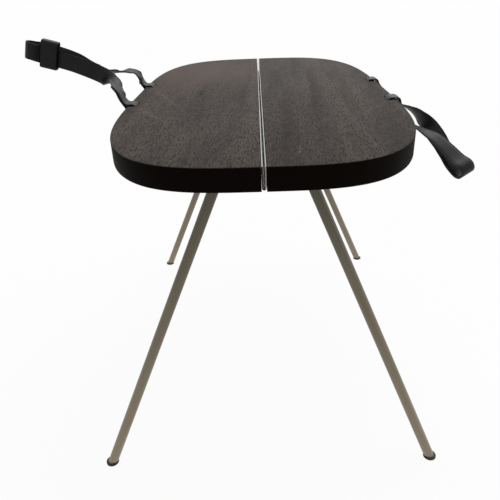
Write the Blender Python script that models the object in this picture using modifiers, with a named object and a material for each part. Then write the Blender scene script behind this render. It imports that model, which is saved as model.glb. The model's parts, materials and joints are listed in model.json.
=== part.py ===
"""Folding camping table: two hollow wooden halves on a full-length hinge,
four splayed steel legs that fold into the halves, and two leather carrying straps.

Metres, +Z up. X runs across the hinge (left is -X), Y runs along it (front is -Y).
The pieces are modelled about the middle of the hinge. The whole table then moves by
HINGE_X, because the left strap reaches further out than the right one, and the origin
is on the floor under the middle of the whole object.
"""
import math

import bmesh
import bpy
from mathutils import Matrix, Vector

# The top
TOP_LENGTH = 0.800
TOP_WIDTH = 0.418
TOP_HEIGHT = 0.513
BOARD_THICKNESS = 0.028
CORNER_POWER = 3.42
PANEL_THICKNESS = 0.006
RIM_WIDTH = 0.022
RAIL_WIDTH = 0.012
EDGE_ROUNDING = 0.0012
OUTLINE_STEPS = 68
HINGE_X = 0.032

# The hinge
LEAF_THICKNESS = 0.0013
LEAF_SPACING = 0.0024
LEAF_END_INSET = 0.001
LEAF_BOTTOM_LIFT = 0.003
HINGE_AXIS_DROP = 0.0005
KNUCKLE_RADIUS = 0.00255
KNUCKLE_COUNT = 15
KNUCKLE_GAP = 0.0004
KNUCKLE_END_INSET = 0.012
PIN_RADIUS = 0.0008

# The legs
TUBE_RADIUS = 0.0075
TUBE_WALL = 0.0012
FOOT_SPREAD_X = 0.254
FOOT_END_INSET = 0.071
FRONT_PIVOT_X = 0.043
REAR_PIVOT_X = 0.0375
PIVOT_END_INSET = 0.116
PIVOT_DEPTH = 0.011
FRONT_STOW_SHIFT = 0.015
REAR_STOW_SHIFT = -0.0118
PAD_RADIUS = 0.00975
PAD_THICKNESS = 0.003
PAD_PLUG_LENGTH = 0.012

# The leg pivots
TONGUE_HALF = 0.003
EYE_RADIUS = 0.006
EAR_THICKNESS = 0.0025
EAR_RADIUS = 0.007
BOLT_RADIUS = 0.0025
BOLT_HEAD_RADIUS = 0.0045
BOLT_HEAD_HEIGHT = 0.0025
NUT_RADIUS = 0.0048
NUT_HEIGHT = 0.0032
SHOULDER_START = 0.0115
SHOULDER_LENGTH = 0.002
PLUG_LENGTH = 0.020
WALL_THICKNESS = 0.0025
WALL_REACH = 0.016
BASE_LENGTH = 0.040
BASE_WIDTH = 0.024
BASE_THICKNESS = 0.0022
BASE_SHIFT = 0.004
SCREW_END_INSET = 0.005
SCREW_RADIUS = 0.0016
SCREW_HEAD_RADIUS = 0.0031
SCREW_LENGTH = 0.0065

# The straps
STRAP_WIDTH = 0.027
STRAP_THICKNESS = 0.0026
SLOT_SPACING = 0.160
SLOT_WIDTH = 0.0052
SLOT_LENGTH = 0.0310
SLOT_INSET = 0.0095
NOTCH_DEPTH = 0.0036
LEFT_STRAP_CENTRE_Y = 0.005
RIGHT_STRAP_CENTRE_Y = -0.009
STRAP_BEND_RADIUS = 0.0075
KEEPER_DISTANCE = 0.0415
KEEPER_LENGTH = 0.027
KEEPER_HEIGHT = 0.0365
KEEPER_DEPTH = 0.0098
KEEPER_THICKNESS = 0.0026

# How the straps lie: each strand's way from its anchor to where the round end starts,
# as the distance out from the half's edge, Y, the height over the top, and the strap's
# turn in degrees, from flat to on edge
LEFT_FRONT_STRAND = [
    (0.0054, -0.0750, 0.0060, 0), (0.0100, -0.0725, 0.0160, 0),
    (0.0172, -0.0620, 0.0238, 8), (0.0255, -0.0460, 0.0288, 25),
    (0.0360, -0.0270, 0.0320, 60), (0.0550, -0.0050, 0.0370, 90),
    (0.0960, -0.0033, 0.0525, 90), (0.1510, -0.0033, 0.0700, 90)]
LEFT_REAR_STRAND = [
    (0.0052, 0.0850, 0.0060, 0), (0.0092, 0.0790, 0.0180, 0),
    (0.0165, 0.0650, 0.0270, 0), (0.0275, 0.0450, 0.0310, 0),
    (0.0400, 0.0220, 0.0350, 5), (0.0500, 0.0085, 0.0390, 55),
    (0.0630, 0.0040, 0.0425, 90), (0.0960, 0.0033, 0.0548, 90),
    (0.1510, 0.0033, 0.0735, 90)]
LEFT_STRAP_TIP = (0.1760, 0.0, 0.0795)
RIGHT_FRONT_STRAND = [
    (0.0052, -0.0890, -0.0028, 0), (0.0100, -0.0900, -0.0180, 0),
    (0.0210, -0.0940, -0.0375, 0), (0.0365, -0.1000, -0.0475, 5),
    (0.0455, -0.1050, -0.0515, 10), (0.0555, -0.1120, -0.0575, 15),
    (0.0628, -0.1200, -0.0665, 20), (0.0795, -0.1400, -0.0870, 25)]
RIGHT_REAR_STRAND = [
    (0.0055, 0.0710, -0.0025, 0), (0.0095, 0.0700, -0.0090, 0),
    (0.0160, 0.0590, -0.0185, 0), (0.0265, 0.0300, -0.0275, 0),
    (0.0389, 0.0000, -0.0325, 0),
    (0.0482, -0.0300, -0.0345, 0), (0.0550, -0.0520, -0.0390, 5),
    (0.0605, -0.0680, -0.0445, 25), (0.0668, -0.0860, -0.0555, 65),
    (0.0745, -0.1000, -0.0674, 90), (0.0920, -0.1290, -0.0900, 90)]
RIGHT_STRAP_TIP = (0.1042, -0.1520, -0.1048)

# A seam between pieces that touch
SEAM = 0.0003

# What follows from the sizes above
UNDERSIDE = TOP_HEIGHT - BOARD_THICKNESS
PANEL_BOTTOM = TOP_HEIGHT - PANEL_THICKNESS
LEAF_INNER = LEAF_SPACING / 2
LEAF_OUTER = LEAF_INNER + LEAF_THICKNESS
WOOD_EDGE = LEAF_OUTER + SEAM
AXIS_HEIGHT = UNDERSIDE - HINGE_AXIS_DROP
BORE_RADIUS = PIN_RADIUS + SEAM
PIVOT_HEIGHT = UNDERSIDE + PIVOT_DEPTH
EAR_INNER = TONGUE_HALF + SEAM
EAR_OUTER = EAR_INNER + EAR_THICKNESS
PIVOT_BORE = BOLT_RADIUS + SEAM
TUBE_START = SHOULDER_START + SHOULDER_LENGTH + SEAM
SLOT_CENTRE = TOP_WIDTH / 2 - SLOT_INSET - SLOT_WIDTH / 2
SIDES = {"left": -1, "right": 1}
ENDS = {"front": -1, "rear": 1}


# Materials

def make_material(name, colour, roughness, metallic):
    material = bpy.data.materials.new(name)
    material.use_nodes = True
    shader = material.node_tree.nodes["Principled BSDF"]
    shader.inputs["Base Color"].default_value = (*colour, 1.0)
    shader.inputs["Roughness"].default_value = roughness
    shader.inputs["Metallic"].default_value = metallic
    material.diffuse_color = (*colour, 1.0)
    return material


def make_materials():
    return {
        "wood": make_material("dark_stained_wood", (0.055, 0.046, 0.042), 0.62, 0.0),
        "steel": make_material("brushed_leg_steel", (0.42, 0.39, 0.33), 0.38, 1.0),
        "bright": make_material("bright_hinge_steel", (0.72, 0.71, 0.69), 0.30, 1.0),
        "zinc": make_material("zinc_plated_steel", (0.55, 0.55, 0.53), 0.42, 1.0),
        "leather": make_material("black_leather", (0.016, 0.015, 0.016), 0.40, 0.0),
        "rubber": make_material("black_rubber", (0.012, 0.012, 0.012), 0.85, 0.0),
    }


# General shapes

def new_object(name, mesh, collection, material=None):
    obj = bpy.data.objects.new(name, mesh)
    collection.objects.link(obj)
    if material:
        mesh.materials.append(material)
    return obj


def plate(name, outlines, bottom, top, collection, material=None):
    """A flat solid between two heights. Outlines after the first are holes."""
    curve = bpy.data.curves.new(name, "CURVE")
    curve.dimensions = "2D"
    curve.fill_mode = "BOTH"
    curve.extrude = (top - bottom) / 2
    for outline in outlines:
        spline = curve.splines.new("POLY")
        spline.points.add(len(outline) - 1)
        for point, (x, y) in zip(spline.points, outline):
            point.co = (x, y, 0.0, 1.0)
        spline.use_cyclic_u = True
    guide = bpy.data.objects.new(name + "_outline", curve)
    collection.objects.link(guide)
    bpy.context.view_layer.update()
    depsgraph = bpy.context.evaluated_depsgraph_get()
    mesh = bpy.data.meshes.new_from_object(guide.evaluated_get(depsgraph))
    bpy.data.objects.remove(guide)
    bpy.data.curves.remove(curve)
    work = bmesh.new()
    work.from_mesh(mesh)
    bmesh.ops.remove_doubles(work, verts=work.verts, dist=1e-6)
    bmesh.ops.recalc_face_normals(work, faces=work.faces)
    work.to_mesh(mesh)
    work.free()
    mesh.transform(Matrix.Translation((0, 0, (top + bottom) / 2)))
    mesh.name = name
    mesh.materials.clear()
    return new_object(name, mesh, collection, material)


def turned(name, profile, steps, collection, material=None):
    """A profile of (radius, height) points, swept about Z with a Screw modifier."""
    mesh = bpy.data.meshes.new(name)
    closed = profile[0][0] > 0
    edges = [(i, i + 1) for i in range(len(profile) - 1)]
    if closed:
        edges.append((len(profile) - 1, 0))
    mesh.from_pydata([(r, 0.0, z) for r, z in profile], edges, [])
    obj = new_object(name, mesh, collection, material)
    screw = obj.modifiers.new("turn", "SCREW")
    screw.angle = math.tau
    screw.steps = screw.render_steps = steps
    screw.use_merge_vertices = True
    screw.merge_threshold = 1e-6
    screw.use_smooth_shade = True
    return obj


def box(name, low, high, collection, material=None):
    mesh = bpy.data.meshes.new(name)
    work = bmesh.new()
    bmesh.ops.create_cube(work, size=1.0)
    low, high = Vector(low), Vector(high)
    size = high - low
    for vert in work.verts:
        vert.co = Vector(c * s for c, s in zip(vert.co, size)) + (low + high) / 2
    work.to_mesh(mesh)
    work.free()
    return new_object(name, mesh, collection, material)


def rod(name, radius, start, end, collection, material=None, sides=24):
    """A cylinder between two points."""
    mesh = bpy.data.meshes.new(name)
    work = bmesh.new()
    start, end = Vector(start), Vector(end)
    along = end - start
    bmesh.ops.create_cone(
        work, cap_ends=True, segments=sides, radius1=radius, radius2=radius,
        depth=along.length)
    turn = along.to_track_quat("Z", "Y").to_matrix().to_4x4()
    work.transform(Matrix.Translation((start + end) / 2) @ turn)
    work.to_mesh(mesh)
    work.free()
    return new_object(name, mesh, collection, material)


def boolean(obj, other, operation, solver="EXACT"):
    modifier = obj.modifiers.new(operation.lower() + "_" + other.name, "BOOLEAN")
    modifier.operation = operation
    modifier.solver = solver
    modifier.object = other
    other.hide_render = True
    other.display_type = "WIRE"


def bake(obj):
    """Apply the modifiers, and remove the helper shapes that they used."""
    bpy.context.view_layer.update()
    depsgraph = bpy.context.evaluated_depsgraph_get()
    mesh = bpy.data.meshes.new_from_object(obj.evaluated_get(depsgraph))
    helpers = [m.object for m in obj.modifiers if m.type == "BOOLEAN"]
    obj.modifiers.clear()
    obj.data = mesh
    for helper in helpers:
        bpy.data.objects.remove(helper)
    return obj


def frame_matrix(origin, x_axis, y_axis, z_axis):
    matrix = Matrix.Identity(4)
    for column, axis in enumerate((x_axis, y_axis, z_axis)):
        matrix.col[column] = (*axis, 0.0)
    matrix.translation = origin
    return matrix


def smooth(obj, angle=35.0):
    obj.data.shade_smooth()
    obj.data.set_sharp_from_angle(angle=math.radians(angle))


# The wooden halves

def edge_point(angle):
    """A point of the top's rounded outline and its outward normal."""
    half_x, half_y = TOP_WIDTH / 2, TOP_LENGTH / 2
    c, s = math.cos(angle), math.sin(angle)
    reach = (abs(c / half_x) ** CORNER_POWER + abs(s / half_y) ** CORNER_POWER) ** (
        -1 / CORNER_POWER)
    x, y = reach * c, reach * s
    normal = Vector((
        math.copysign(abs(x / half_x) ** (CORNER_POWER - 1) / half_x, x),
        math.copysign(abs(y / half_y) ** (CORNER_POWER - 1) / half_y, y)))
    return Vector((x, y)), normal.normalized()


def edge_angles():
    """Even steps round the outer edge of the right half, between its two hinge corners."""
    limit = math.acos(WOOD_EDGE / (TOP_LENGTH / 2))
    return [limit * (2 * i / OUTLINE_STEPS - 1) for i in range(OUTLINE_STEPS + 1)]


def half_outline(side, inset=0.0):
    """The curved edge of one half as points from front to rear."""
    points = []
    for angle in edge_angles():
        point, normal = edge_point(angle)
        point = point - normal * inset
        points.append((side * max(point.x, WOOD_EDGE), point.y))
    return points


def slot_places(side_name):
    centre = LEFT_STRAP_CENTRE_Y if side_name == "left" else RIGHT_STRAP_CENTRE_Y
    return {end: centre + sign * SLOT_SPACING / 2 for end, sign in ENDS.items()}


def slot_outline(side, place_y, steps=6):
    """A round-ended slot that lies along the edge."""
    radius = SLOT_WIDTH / 2
    straight = SLOT_LENGTH / 2 - radius
    points = []
    for sign in (1, -1):
        for i in range(steps + 1):
            angle = math.pi * i / steps if sign > 0 else math.pi * (1 + i / steps)
            points.append((side * SLOT_CENTRE + radius * math.cos(angle),
                           place_y + sign * straight + radius * math.sin(angle)))
    return points


def round_top_edges(obj, height):
    """A small rounding on every edge at the given height."""
    work = bmesh.new()
    work.from_mesh(obj.data)
    edges = [
        e for e in work.edges
        if all(abs(v.co.z - height) < 1e-6 for v in e.verts)
        and any(abs(f.normal.z) < 0.5 for f in e.link_faces)]
    bmesh.ops.bevel(
        work, geom=edges, offset=EDGE_ROUNDING, offset_type="OFFSET", segments=2,
        profile=0.5, affect="EDGES")
    work.to_mesh(obj.data)
    work.free()


def make_panel(side_name, parts, cutters, material):
    side = SIDES[side_name]
    slots = [slot_outline(side, y) for y in slot_places(side_name).values()]
    panel = plate(side_name + "_top_panel", [half_outline(side)] + slots,
                  PANEL_BOTTOM, TOP_HEIGHT, parts, material)
    round_top_edges(panel, TOP_HEIGHT)
    for leg in legs_of(side_name):
        for screw_y in leg.screw_places():
            hole = rod("pilot", SCREW_RADIUS + SEAM,
                       (leg.base_x, screw_y, PANEL_BOTTOM - SCREW_LENGTH),
                       (leg.base_x, screw_y, leg.screw_tip() + SEAM), cutters, sides=12)
            boolean(panel, hole, "DIFFERENCE")
    bake(panel)
    smooth(panel)
    return panel


def make_rim(side_name, parts, cutters, material):
    """The curved edge under the panel, with a shallow notch under each strap."""
    side = SIDES[side_name]
    outline = half_outline(side) + list(reversed(half_outline(side, RIM_WIDTH)))
    slots = [slot_outline(side, y) for y in slot_places(side_name).values()]
    rim = plate(side_name + "_rim", [outline] + slots,
                UNDERSIDE, PANEL_BOTTOM - SEAM, parts, material)
    for place_y in slot_places(side_name).values():
        inner = side * (SLOT_CENTRE - SLOT_WIDTH / 2)
        outer = side * (TOP_WIDTH / 2 + RIM_WIDTH)
        notch = box("notch",
                    (min(inner, outer), place_y - SLOT_LENGTH / 2, UNDERSIDE - RIM_WIDTH),
                    (max(inner, outer), place_y + SLOT_LENGTH / 2, UNDERSIDE + NOTCH_DEPTH),
                    cutters)
        boolean(rim, notch, "DIFFERENCE")
    bake(rim)
    smooth(rim)
    return rim


def make_rail(side_name, parts, material):
    side = SIDES[side_name]
    inner_y = half_outline(1, RIM_WIDTH)[-1][1]
    near = side * WOOD_EDGE
    far = side * (WOOD_EDGE + RAIL_WIDTH)
    end_y = min(y for x, y in half_outline(1, RIM_WIDTH)
                if x <= WOOD_EDGE + RAIL_WIDTH and y > 0)
    length = min(inner_y, end_y) - SEAM
    return box(side_name + "_hinge_rail",
               (min(near, far), -length, UNDERSIDE),
               (max(near, far), length, PANEL_BOTTOM - SEAM), parts, material)


# The hinge

def knuckle_spans():
    """The Y range of each knuckle, from front to rear."""
    start = -TOP_LENGTH / 2 + KNUCKLE_END_INSET
    pitch = -2 * start / KNUCKLE_COUNT
    return [(start + i * pitch + KNUCKLE_GAP / 2, start + (i + 1) * pitch - KNUCKLE_GAP / 2)
            for i in range(KNUCKLE_COUNT)]


def make_leaf(side_name, parts, cutters, material):
    """A strip with every second knuckle, cut away where the other leaf's knuckles sit."""
    side = SIDES[side_name]
    own = knuckle_spans()[0 if side < 0 else 1::2]
    end = TOP_LENGTH / 2 - LEAF_END_INSET
    raised = UNDERSIDE + LEAF_BOTTOM_LIFT
    outline = [(end, TOP_HEIGHT), (-end, TOP_HEIGHT), (-end, raised)]
    for front, rear in own:
        outline += [(front, raised), (front, AXIS_HEIGHT), (rear, AXIS_HEIGHT), (rear, raised)]
    outline.append((end, raised))
    middle = side * (LEAF_INNER + LEAF_OUTER) / 2
    leaf = plate(side_name + "_hinge_leaf", [outline],
                 -LEAF_THICKNESS / 2, LEAF_THICKNESS / 2, parts, material)
    leaf.data.transform(frame_matrix((middle, 0, 0), (0, 1, 0), (0, 0, 1), (1, 0, 0)))
    for front, rear in own:
        barrel = rod("barrel", KNUCKLE_RADIUS, (0, front, AXIS_HEIGHT), (0, rear, AXIS_HEIGHT),
                     cutters, sides=16)
        boolean(leaf, barrel, "UNION", "MANIFOLD")
    bore = rod("bore", BORE_RADIUS, (0, -end, AXIS_HEIGHT), (0, end, AXIS_HEIGHT),
               cutters, sides=12)
    boolean(leaf, bore, "DIFFERENCE", "MANIFOLD")
    bake(leaf)
    smooth(leaf)
    return leaf


def make_pin(parts, material):
    spans = knuckle_spans()
    pin = rod("hinge_pin", PIN_RADIUS, (0, spans[0][0], AXIS_HEIGHT),
              (0, spans[-1][1], AXIS_HEIGHT), parts, material, sides=10)
    smooth(pin)
    return pin


# The folding legs

class Leg:
    """Where one leg stands, where it folds to, and the frame of its pivot.

    In the pivot's frame X is the pivot axis, Z runs down the leg, and the leg
    folds towards -Y."""

    def __init__(self, side_name, end_name):
        side, end = SIDES[side_name], ENDS[end_name]
        self.name = "_".join((end_name, side_name))
        self.side = side
        self.end = end
        front = end_name == "front"
        pivot_x = FRONT_PIVOT_X if front else REAR_PIVOT_X
        shift = FRONT_STOW_SHIFT if front else REAR_STOW_SHIFT
        self.pivot = Vector((
            side * pivot_x, end * (TOP_LENGTH / 2 - PIVOT_END_INSET), PIVOT_HEIGHT))
        self.foot = Vector((
            side * FOOT_SPREAD_X, end * (TOP_LENGTH / 2 - FOOT_END_INSET), 0.0))
        down = self.foot - self.pivot
        self.length = down.length
        self.down = down.normalized()
        stowed = Vector((side * shift, -end * math.sqrt(self.length ** 2 - shift ** 2), 0.0))
        self.stowed = stowed.normalized()
        self.axis = self.down.cross(self.stowed).normalized()
        self.fold_angle = self.down.angle(self.stowed)
        self.frame = frame_matrix(
            self.pivot, self.axis, self.down.cross(self.axis), self.down)
        self.base_x = self.pivot.x - side * BASE_SHIFT

    def screw_places(self):
        reach = BASE_LENGTH / 2 - SCREW_END_INSET
        return [self.pivot.y + sign * reach for sign in (-1, 1)]

    def base_top(self):
        return PANEL_BOTTOM - SEAM

    def base_bottom(self):
        return self.base_top() - BASE_THICKNESS

    def screw_tip(self):
        return self.base_bottom() + SCREW_LENGTH


def legs_of(side_name):
    return [Leg(side_name, end_name) for end_name in ENDS]


def all_legs():
    return [leg for side_name in SIDES for leg in legs_of(side_name)]


def ear_outline():
    """The side view of a bracket's ear: round below the pivot, with a corner to its back wall."""
    reach = 2 * (BOARD_THICKNESS - PIVOT_DEPTH)
    back = TUBE_RADIUS + SEAM + WALL_THICKNESS
    points = [(-EAR_RADIUS, -reach), (-EAR_RADIUS, 0.0)]
    points += [(-EAR_RADIUS * math.cos(a), EAR_RADIUS * math.sin(a))
               for a in (math.radians(15 * i) for i in range(1, 10))]
    points += [(back, SHOULDER_START), (back, -reach)]
    return points


def make_bracket(leg, parts, cutters, material):
    """A steel base with two ears for the pivot bolt, and a wall that stops the leg."""
    name = leg.name + "_leg_bracket"
    reach = 2 * (BOARD_THICKNESS - PIVOT_DEPTH)
    wall_near = TUBE_RADIUS + SEAM
    bracket = box(name, (-EAR_OUTER, wall_near, -reach),
                  (EAR_OUTER, wall_near + WALL_THICKNESS, WALL_REACH), parts, material)
    bracket.matrix_world = leg.frame
    upright = frame_matrix((0, 0, 0), (0, 1, 0), (0, 0, 1), (1, 0, 0))
    for sign in (-1, 1):
        low, high = sorted((sign * EAR_INNER, sign * EAR_OUTER))
        ear = plate("ear", [ear_outline()], low, high, cutters)
        ear.data.transform(upright)
        ear.matrix_world = leg.frame
        boolean(bracket, ear, "UNION")
    ceiling = box("ceiling", (-BASE_LENGTH, -BASE_LENGTH, 0),
                  (BASE_LENGTH, BASE_LENGTH, BASE_LENGTH), cutters)
    middle = (leg.base_bottom() + leg.base_top()) / 2
    ceiling.matrix_world = Matrix.Translation((leg.base_x, leg.pivot.y, middle))
    boolean(bracket, ceiling, "DIFFERENCE")
    base = box("base", (leg.base_x - BASE_WIDTH / 2, leg.pivot.y - BASE_LENGTH / 2,
                        leg.base_bottom()),
               (leg.base_x + BASE_WIDTH / 2, leg.pivot.y + BASE_LENGTH / 2, leg.base_top()),
               cutters)
    boolean(bracket, base, "UNION")
    bore = rod("bore", PIVOT_BORE, (-2 * EAR_OUTER, 0, 0), (2 * EAR_OUTER, 0, 0), cutters,
               sides=20)
    bore.matrix_world = leg.frame
    boolean(bracket, bore, "DIFFERENCE")
    for screw_y in leg.screw_places():
        sink = turned("sink", screw_profile(leg, SEAM), 16, cutters)
        sink.matrix_world = Matrix.Translation((leg.base_x, screw_y, 0))
        boolean(bracket, sink, "DIFFERENCE")
    bake(bracket)
    smooth(bracket)
    return bracket


def screw_profile(leg, clearance=0.0):
    """A countersunk screw whose head is flush with the base's lower face."""
    face = leg.base_bottom() - clearance
    head, shank = SCREW_HEAD_RADIUS + clearance, SCREW_RADIUS + clearance
    neck = leg.base_bottom() + (head - shank)
    return [(0.0, leg.screw_tip() + clearance), (shank, leg.screw_tip() + clearance),
            (shank, neck), (head, leg.base_bottom()), (head, face), (0.0, face)]


def make_screws(leg, parts, material):
    screws = []
    for place, screw_y in zip(("front", "rear"), leg.screw_places()):
        name = leg.name + "_bracket_screw_" + place
        profile = screw_profile(leg)
        profile.pop(-2)
        screw = turned(name, profile, 16, parts, material)
        screw.matrix_world = Matrix.Translation((leg.base_x, screw_y, 0))
        screws.append(screw)
    return screws


def make_bolt(leg, parts, material):
    """A pivot bolt: its head on one ear, its plain end just past the nut on the other."""
    head_low = EAR_OUTER + SEAM
    tip = -(EAR_OUTER + SEAM + NUT_HEIGHT + SEAM)
    profile = [(0.0, head_low + BOLT_HEAD_HEIGHT),
               (BOLT_HEAD_RADIUS * 0.8, head_low + BOLT_HEAD_HEIGHT),
               (BOLT_HEAD_RADIUS, head_low + BOLT_HEAD_HEIGHT * 0.6),
               (BOLT_HEAD_RADIUS, head_low), (BOLT_RADIUS, head_low),
               (BOLT_RADIUS, tip), (0.0, tip)]
    bolt = turned(leg.name + "_pivot_bolt", profile, 20, parts, material)
    bolt.matrix_world = leg.frame @ Matrix.Rotation(math.pi / 2, 4, "Y")
    return bolt


def make_nut(leg, parts, cutters, material):
    near = -(EAR_OUTER + SEAM)
    nut = rod(leg.name + "_pivot_nut", NUT_RADIUS, (near, 0, 0), (near - NUT_HEIGHT, 0, 0),
              parts, material, sides=6)
    nut.matrix_world = leg.frame
    bore = rod("bore", PIVOT_BORE, (0, 0, 0), (2 * (near - NUT_HEIGHT), 0, 0), cutters, sides=20)
    bore.matrix_world = leg.frame
    boolean(nut, bore, "DIFFERENCE")
    bake(nut)
    smooth(nut)
    return nut


def make_knuckle(leg, parts, cutters, material):
    """The leg's head: an eye on the pivot bolt, a shoulder, and a plug inside the tube."""
    shoulder_end = SHOULDER_START + SHOULDER_LENGTH
    profile = [(0.0, shoulder_end + PLUG_LENGTH),
               (TUBE_RADIUS - TUBE_WALL - SEAM, shoulder_end + PLUG_LENGTH),
               (TUBE_RADIUS - TUBE_WALL - SEAM, shoulder_end), (TUBE_RADIUS, shoulder_end),
               (TUBE_RADIUS, SHOULDER_START), (0.0, SHOULDER_START)]
    knuckle = turned(leg.name + "_leg_knuckle", profile, 24, parts, material)
    knuckle.matrix_world = leg.frame
    tongue = box("tongue", (-TONGUE_HALF, -EYE_RADIUS, 0),
                 (TONGUE_HALF, EYE_RADIUS, SHOULDER_START + SHOULDER_LENGTH / 2), cutters)
    eye = rod("eye", EYE_RADIUS, (-TONGUE_HALF, 0, 0), (TONGUE_HALF, 0, 0), cutters)
    bore = rod("bore", PIVOT_BORE, (-2 * TONGUE_HALF, 0, 0), (2 * TONGUE_HALF, 0, 0), cutters,
               sides=20)
    for helper, operation in ((tongue, "UNION"), (eye, "UNION"), (bore, "DIFFERENCE")):
        helper.matrix_world = leg.frame
        boolean(knuckle, helper, operation)
    bake(knuckle)
    smooth(knuckle)
    return knuckle


def make_tube(leg, parts, cutters, material):
    """A straight steel tube, cut level just above its foot pad."""
    inner = TUBE_RADIUS - TUBE_WALL
    end = leg.length + 2 * TUBE_RADIUS
    profile = [(TUBE_RADIUS, end), (TUBE_RADIUS, TUBE_START), (inner, TUBE_START), (inner, end)]
    tube = turned(leg.name + "_leg_tube", profile, 28, parts, material)
    tube.matrix_world = leg.frame
    floor = box("floor", (-PIVOT_HEIGHT, -PIVOT_HEIGHT, -PIVOT_HEIGHT),
                (PIVOT_HEIGHT, PIVOT_HEIGHT, PAD_THICKNESS + SEAM), cutters)
    boolean(tube, floor, "DIFFERENCE")
    bake(tube)
    smooth(tube)
    return tube


def make_pad(leg, parts, cutters, material):
    """A level rubber disc with a plug that sits in the tube."""
    pad = rod(leg.name + "_foot_pad", PAD_RADIUS, (leg.foot.x, leg.foot.y, 0),
              (leg.foot.x, leg.foot.y, PAD_THICKNESS), parts, material, sides=28)
    radius = TUBE_RADIUS - TUBE_WALL - SEAM
    top = leg.foot - leg.down * (PAD_PLUG_LENGTH + PAD_THICKNESS)
    bottom = leg.foot - leg.down * (PAD_THICKNESS / 2 + radius * math.tan(
        math.acos(-leg.down.z)))
    plug = rod("plug", radius, bottom, top, cutters, sides=20)
    boolean(pad, plug, "UNION")
    bake(pad)
    smooth(pad)
    return pad


# The straps

def place_of_bar(side):
    """The centre of the wooden bar between a slot and the edge, across the table."""
    return side * (TOP_WIDTH / 2 - SLOT_INSET / 2)


def from_edge(side, place):
    """A point given by its distance out from a half's edge, its Y and its height over the top."""
    out, y, up = place
    return Vector((side * (TOP_WIDTH / 2 + out), y, TOP_HEIGHT + up))


def rounded_ring(half_x, half_z, radius, steps=4):
    points = []
    for sx, sz, start in ((1, 1, 0), (-1, 1, 90), (-1, -1, 180), (1, -1, 270)):
        for i in range(steps + 1):
            angle = math.radians(start + 90 * i / steps)
            points.append((sx * (half_x - radius) + radius * math.cos(angle),
                           sz * (half_z - radius) + radius * math.sin(angle)))
    return points


def make_anchor(side_name, end_name, parts, material):
    """The sewn end of a strap, which goes round the wooden bar through the slot."""
    side = SIDES[side_name]
    place_y = slot_places(side_name)[end_name]
    bottom = UNDERSIDE + NOTCH_DEPTH
    half_x = SLOT_INSET / 2 + SEAM
    half_z = (TOP_HEIGHT - bottom) / 2 + SEAM
    centre = (place_of_bar(side), place_y, (TOP_HEIGHT + bottom) / 2)
    inner = rounded_ring(half_x, half_z, SEAM)
    outer = rounded_ring(half_x + STRAP_THICKNESS, half_z + STRAP_THICKNESS,
                         SEAM + STRAP_THICKNESS)
    anchor = plate("_".join((side_name, end_name, "strap_anchor")), [outer, inner],
                   -STRAP_WIDTH / 2, STRAP_WIDTH / 2, parts, material)
    anchor.data.transform(frame_matrix(centre, (1, 0, 0), (0, 0, 1), (0, -1, 0)))
    smooth(anchor)
    return anchor


class Strap:
    """One carrying strap: a front and a rear strand that meet in a round end."""

    def __init__(self, side_name):
        side = SIDES[side_name]
        left = side_name == "left"
        self.name = side_name + "_strap"
        self.tip = from_edge(side, LEFT_STRAP_TIP if left else RIGHT_STRAP_TIP)
        clear = 2 * SEAM + 1.5 * STRAP_THICKNESS
        seat = SEAM + STRAP_THICKNESS / 2
        self.root = from_edge(
            side, (clear, LEFT_STRAP_CENTRE_Y if left else RIGHT_STRAP_CENTRE_Y, seat))
        lists = {"front": LEFT_FRONT_STRAND if left else RIGHT_FRONT_STRAND,
                 "rear": LEFT_REAR_STRAND if left else RIGHT_REAR_STRAND}
        self.strands = {}
        for end_name, place_y in slot_places(side_name).items():
            rows = [(clear, place_y, seat, 0)] + lists[end_name]
            self.strands[end_name] = [(from_edge(side, row[:3]), row[3]) for row in rows]
        front, rear = (self.strands[end_name][-1][0] for end_name in ENDS)
        self.along = (self.tip - (front + rear) / 2).normalized()
        self.across = Vector((0.0, 1.0, 0.0))
        self.across -= self.along * self.across.dot(self.along)
        self.across.normalize()
        self.width = self.along.cross(self.across)
        if self.width.z < 0:
            self.width.negate()

    def strand(self, end_name):
        """The strand's points, each with the direction of the strap's width."""
        flat = Vector((0.0, -ENDS[end_name], 0.0))
        rows = []
        for point, turn in self.strands[end_name]:
            angle = math.radians(turn)
            rows.append((point, flat * math.cos(angle) + self.width * math.sin(angle)))
        return rows

    def stagger(self):
        """How much higher than the front strand the rear strand lies, along the width."""
        front, rear = (self.strands[end_name][-1][0] for end_name in ENDS)
        return (rear - front).dot(self.width)

    def round_end(self, steps=8):
        reach = STRAP_BEND_RADIUS + STRAP_THICKNESS / 2
        centre = self.tip - self.along * reach
        rows = []
        for i in range(steps + 1):
            angle = math.pi * i / steps
            arm = self.along * math.sin(angle) - self.across * math.cos(angle)
            rows.append((centre + arm * STRAP_BEND_RADIUS, self.width))
        return rows

    def route(self):
        """The whole strap, from the front anchor round the end to the rear anchor."""
        return smooth_rows(self.strand("front") + self.round_end()
                           + self.strand("rear")[::-1])


def smooth_rows(rows, steps=3, short=0.005):
    """A smooth curve through the rows, whose short stretches stay as they are."""
    dense = []
    for i in range(len(rows) - 1):
        near, far = rows[i], rows[i + 1]
        length = (far[0] - near[0]).length
        before = rows[i - 1] if i else near
        after = rows[i + 2] if i + 2 < len(rows) else far
        leave = slope(before, near, far) * length
        arrive = slope(near, far, after) * length
        count = 1 if length < short else steps
        for k in range(count):
            t = k / count
            point = (near[0] * (1 + t * t * (2 * t - 3)) + far[0] * t * t * (3 - 2 * t)
                     + leave * t * (1 - t) ** 2 + arrive * t * t * (t - 1))
            dense.append((point, near[1].slerp(far[1], t)))
    return dense + [rows[-1]]


def slope(before, here, after):
    """The direction of travel at a row, per unit of the curve's length."""
    gone = (here[0] - before[0]).length
    ahead = (after[0] - here[0]).length
    if not gone or not ahead:
        return (after[0] - before[0]).normalized()
    return ((here[0] - before[0]) / gone * ahead + (after[0] - here[0]) / ahead * gone) / (
        gone + ahead)


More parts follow.
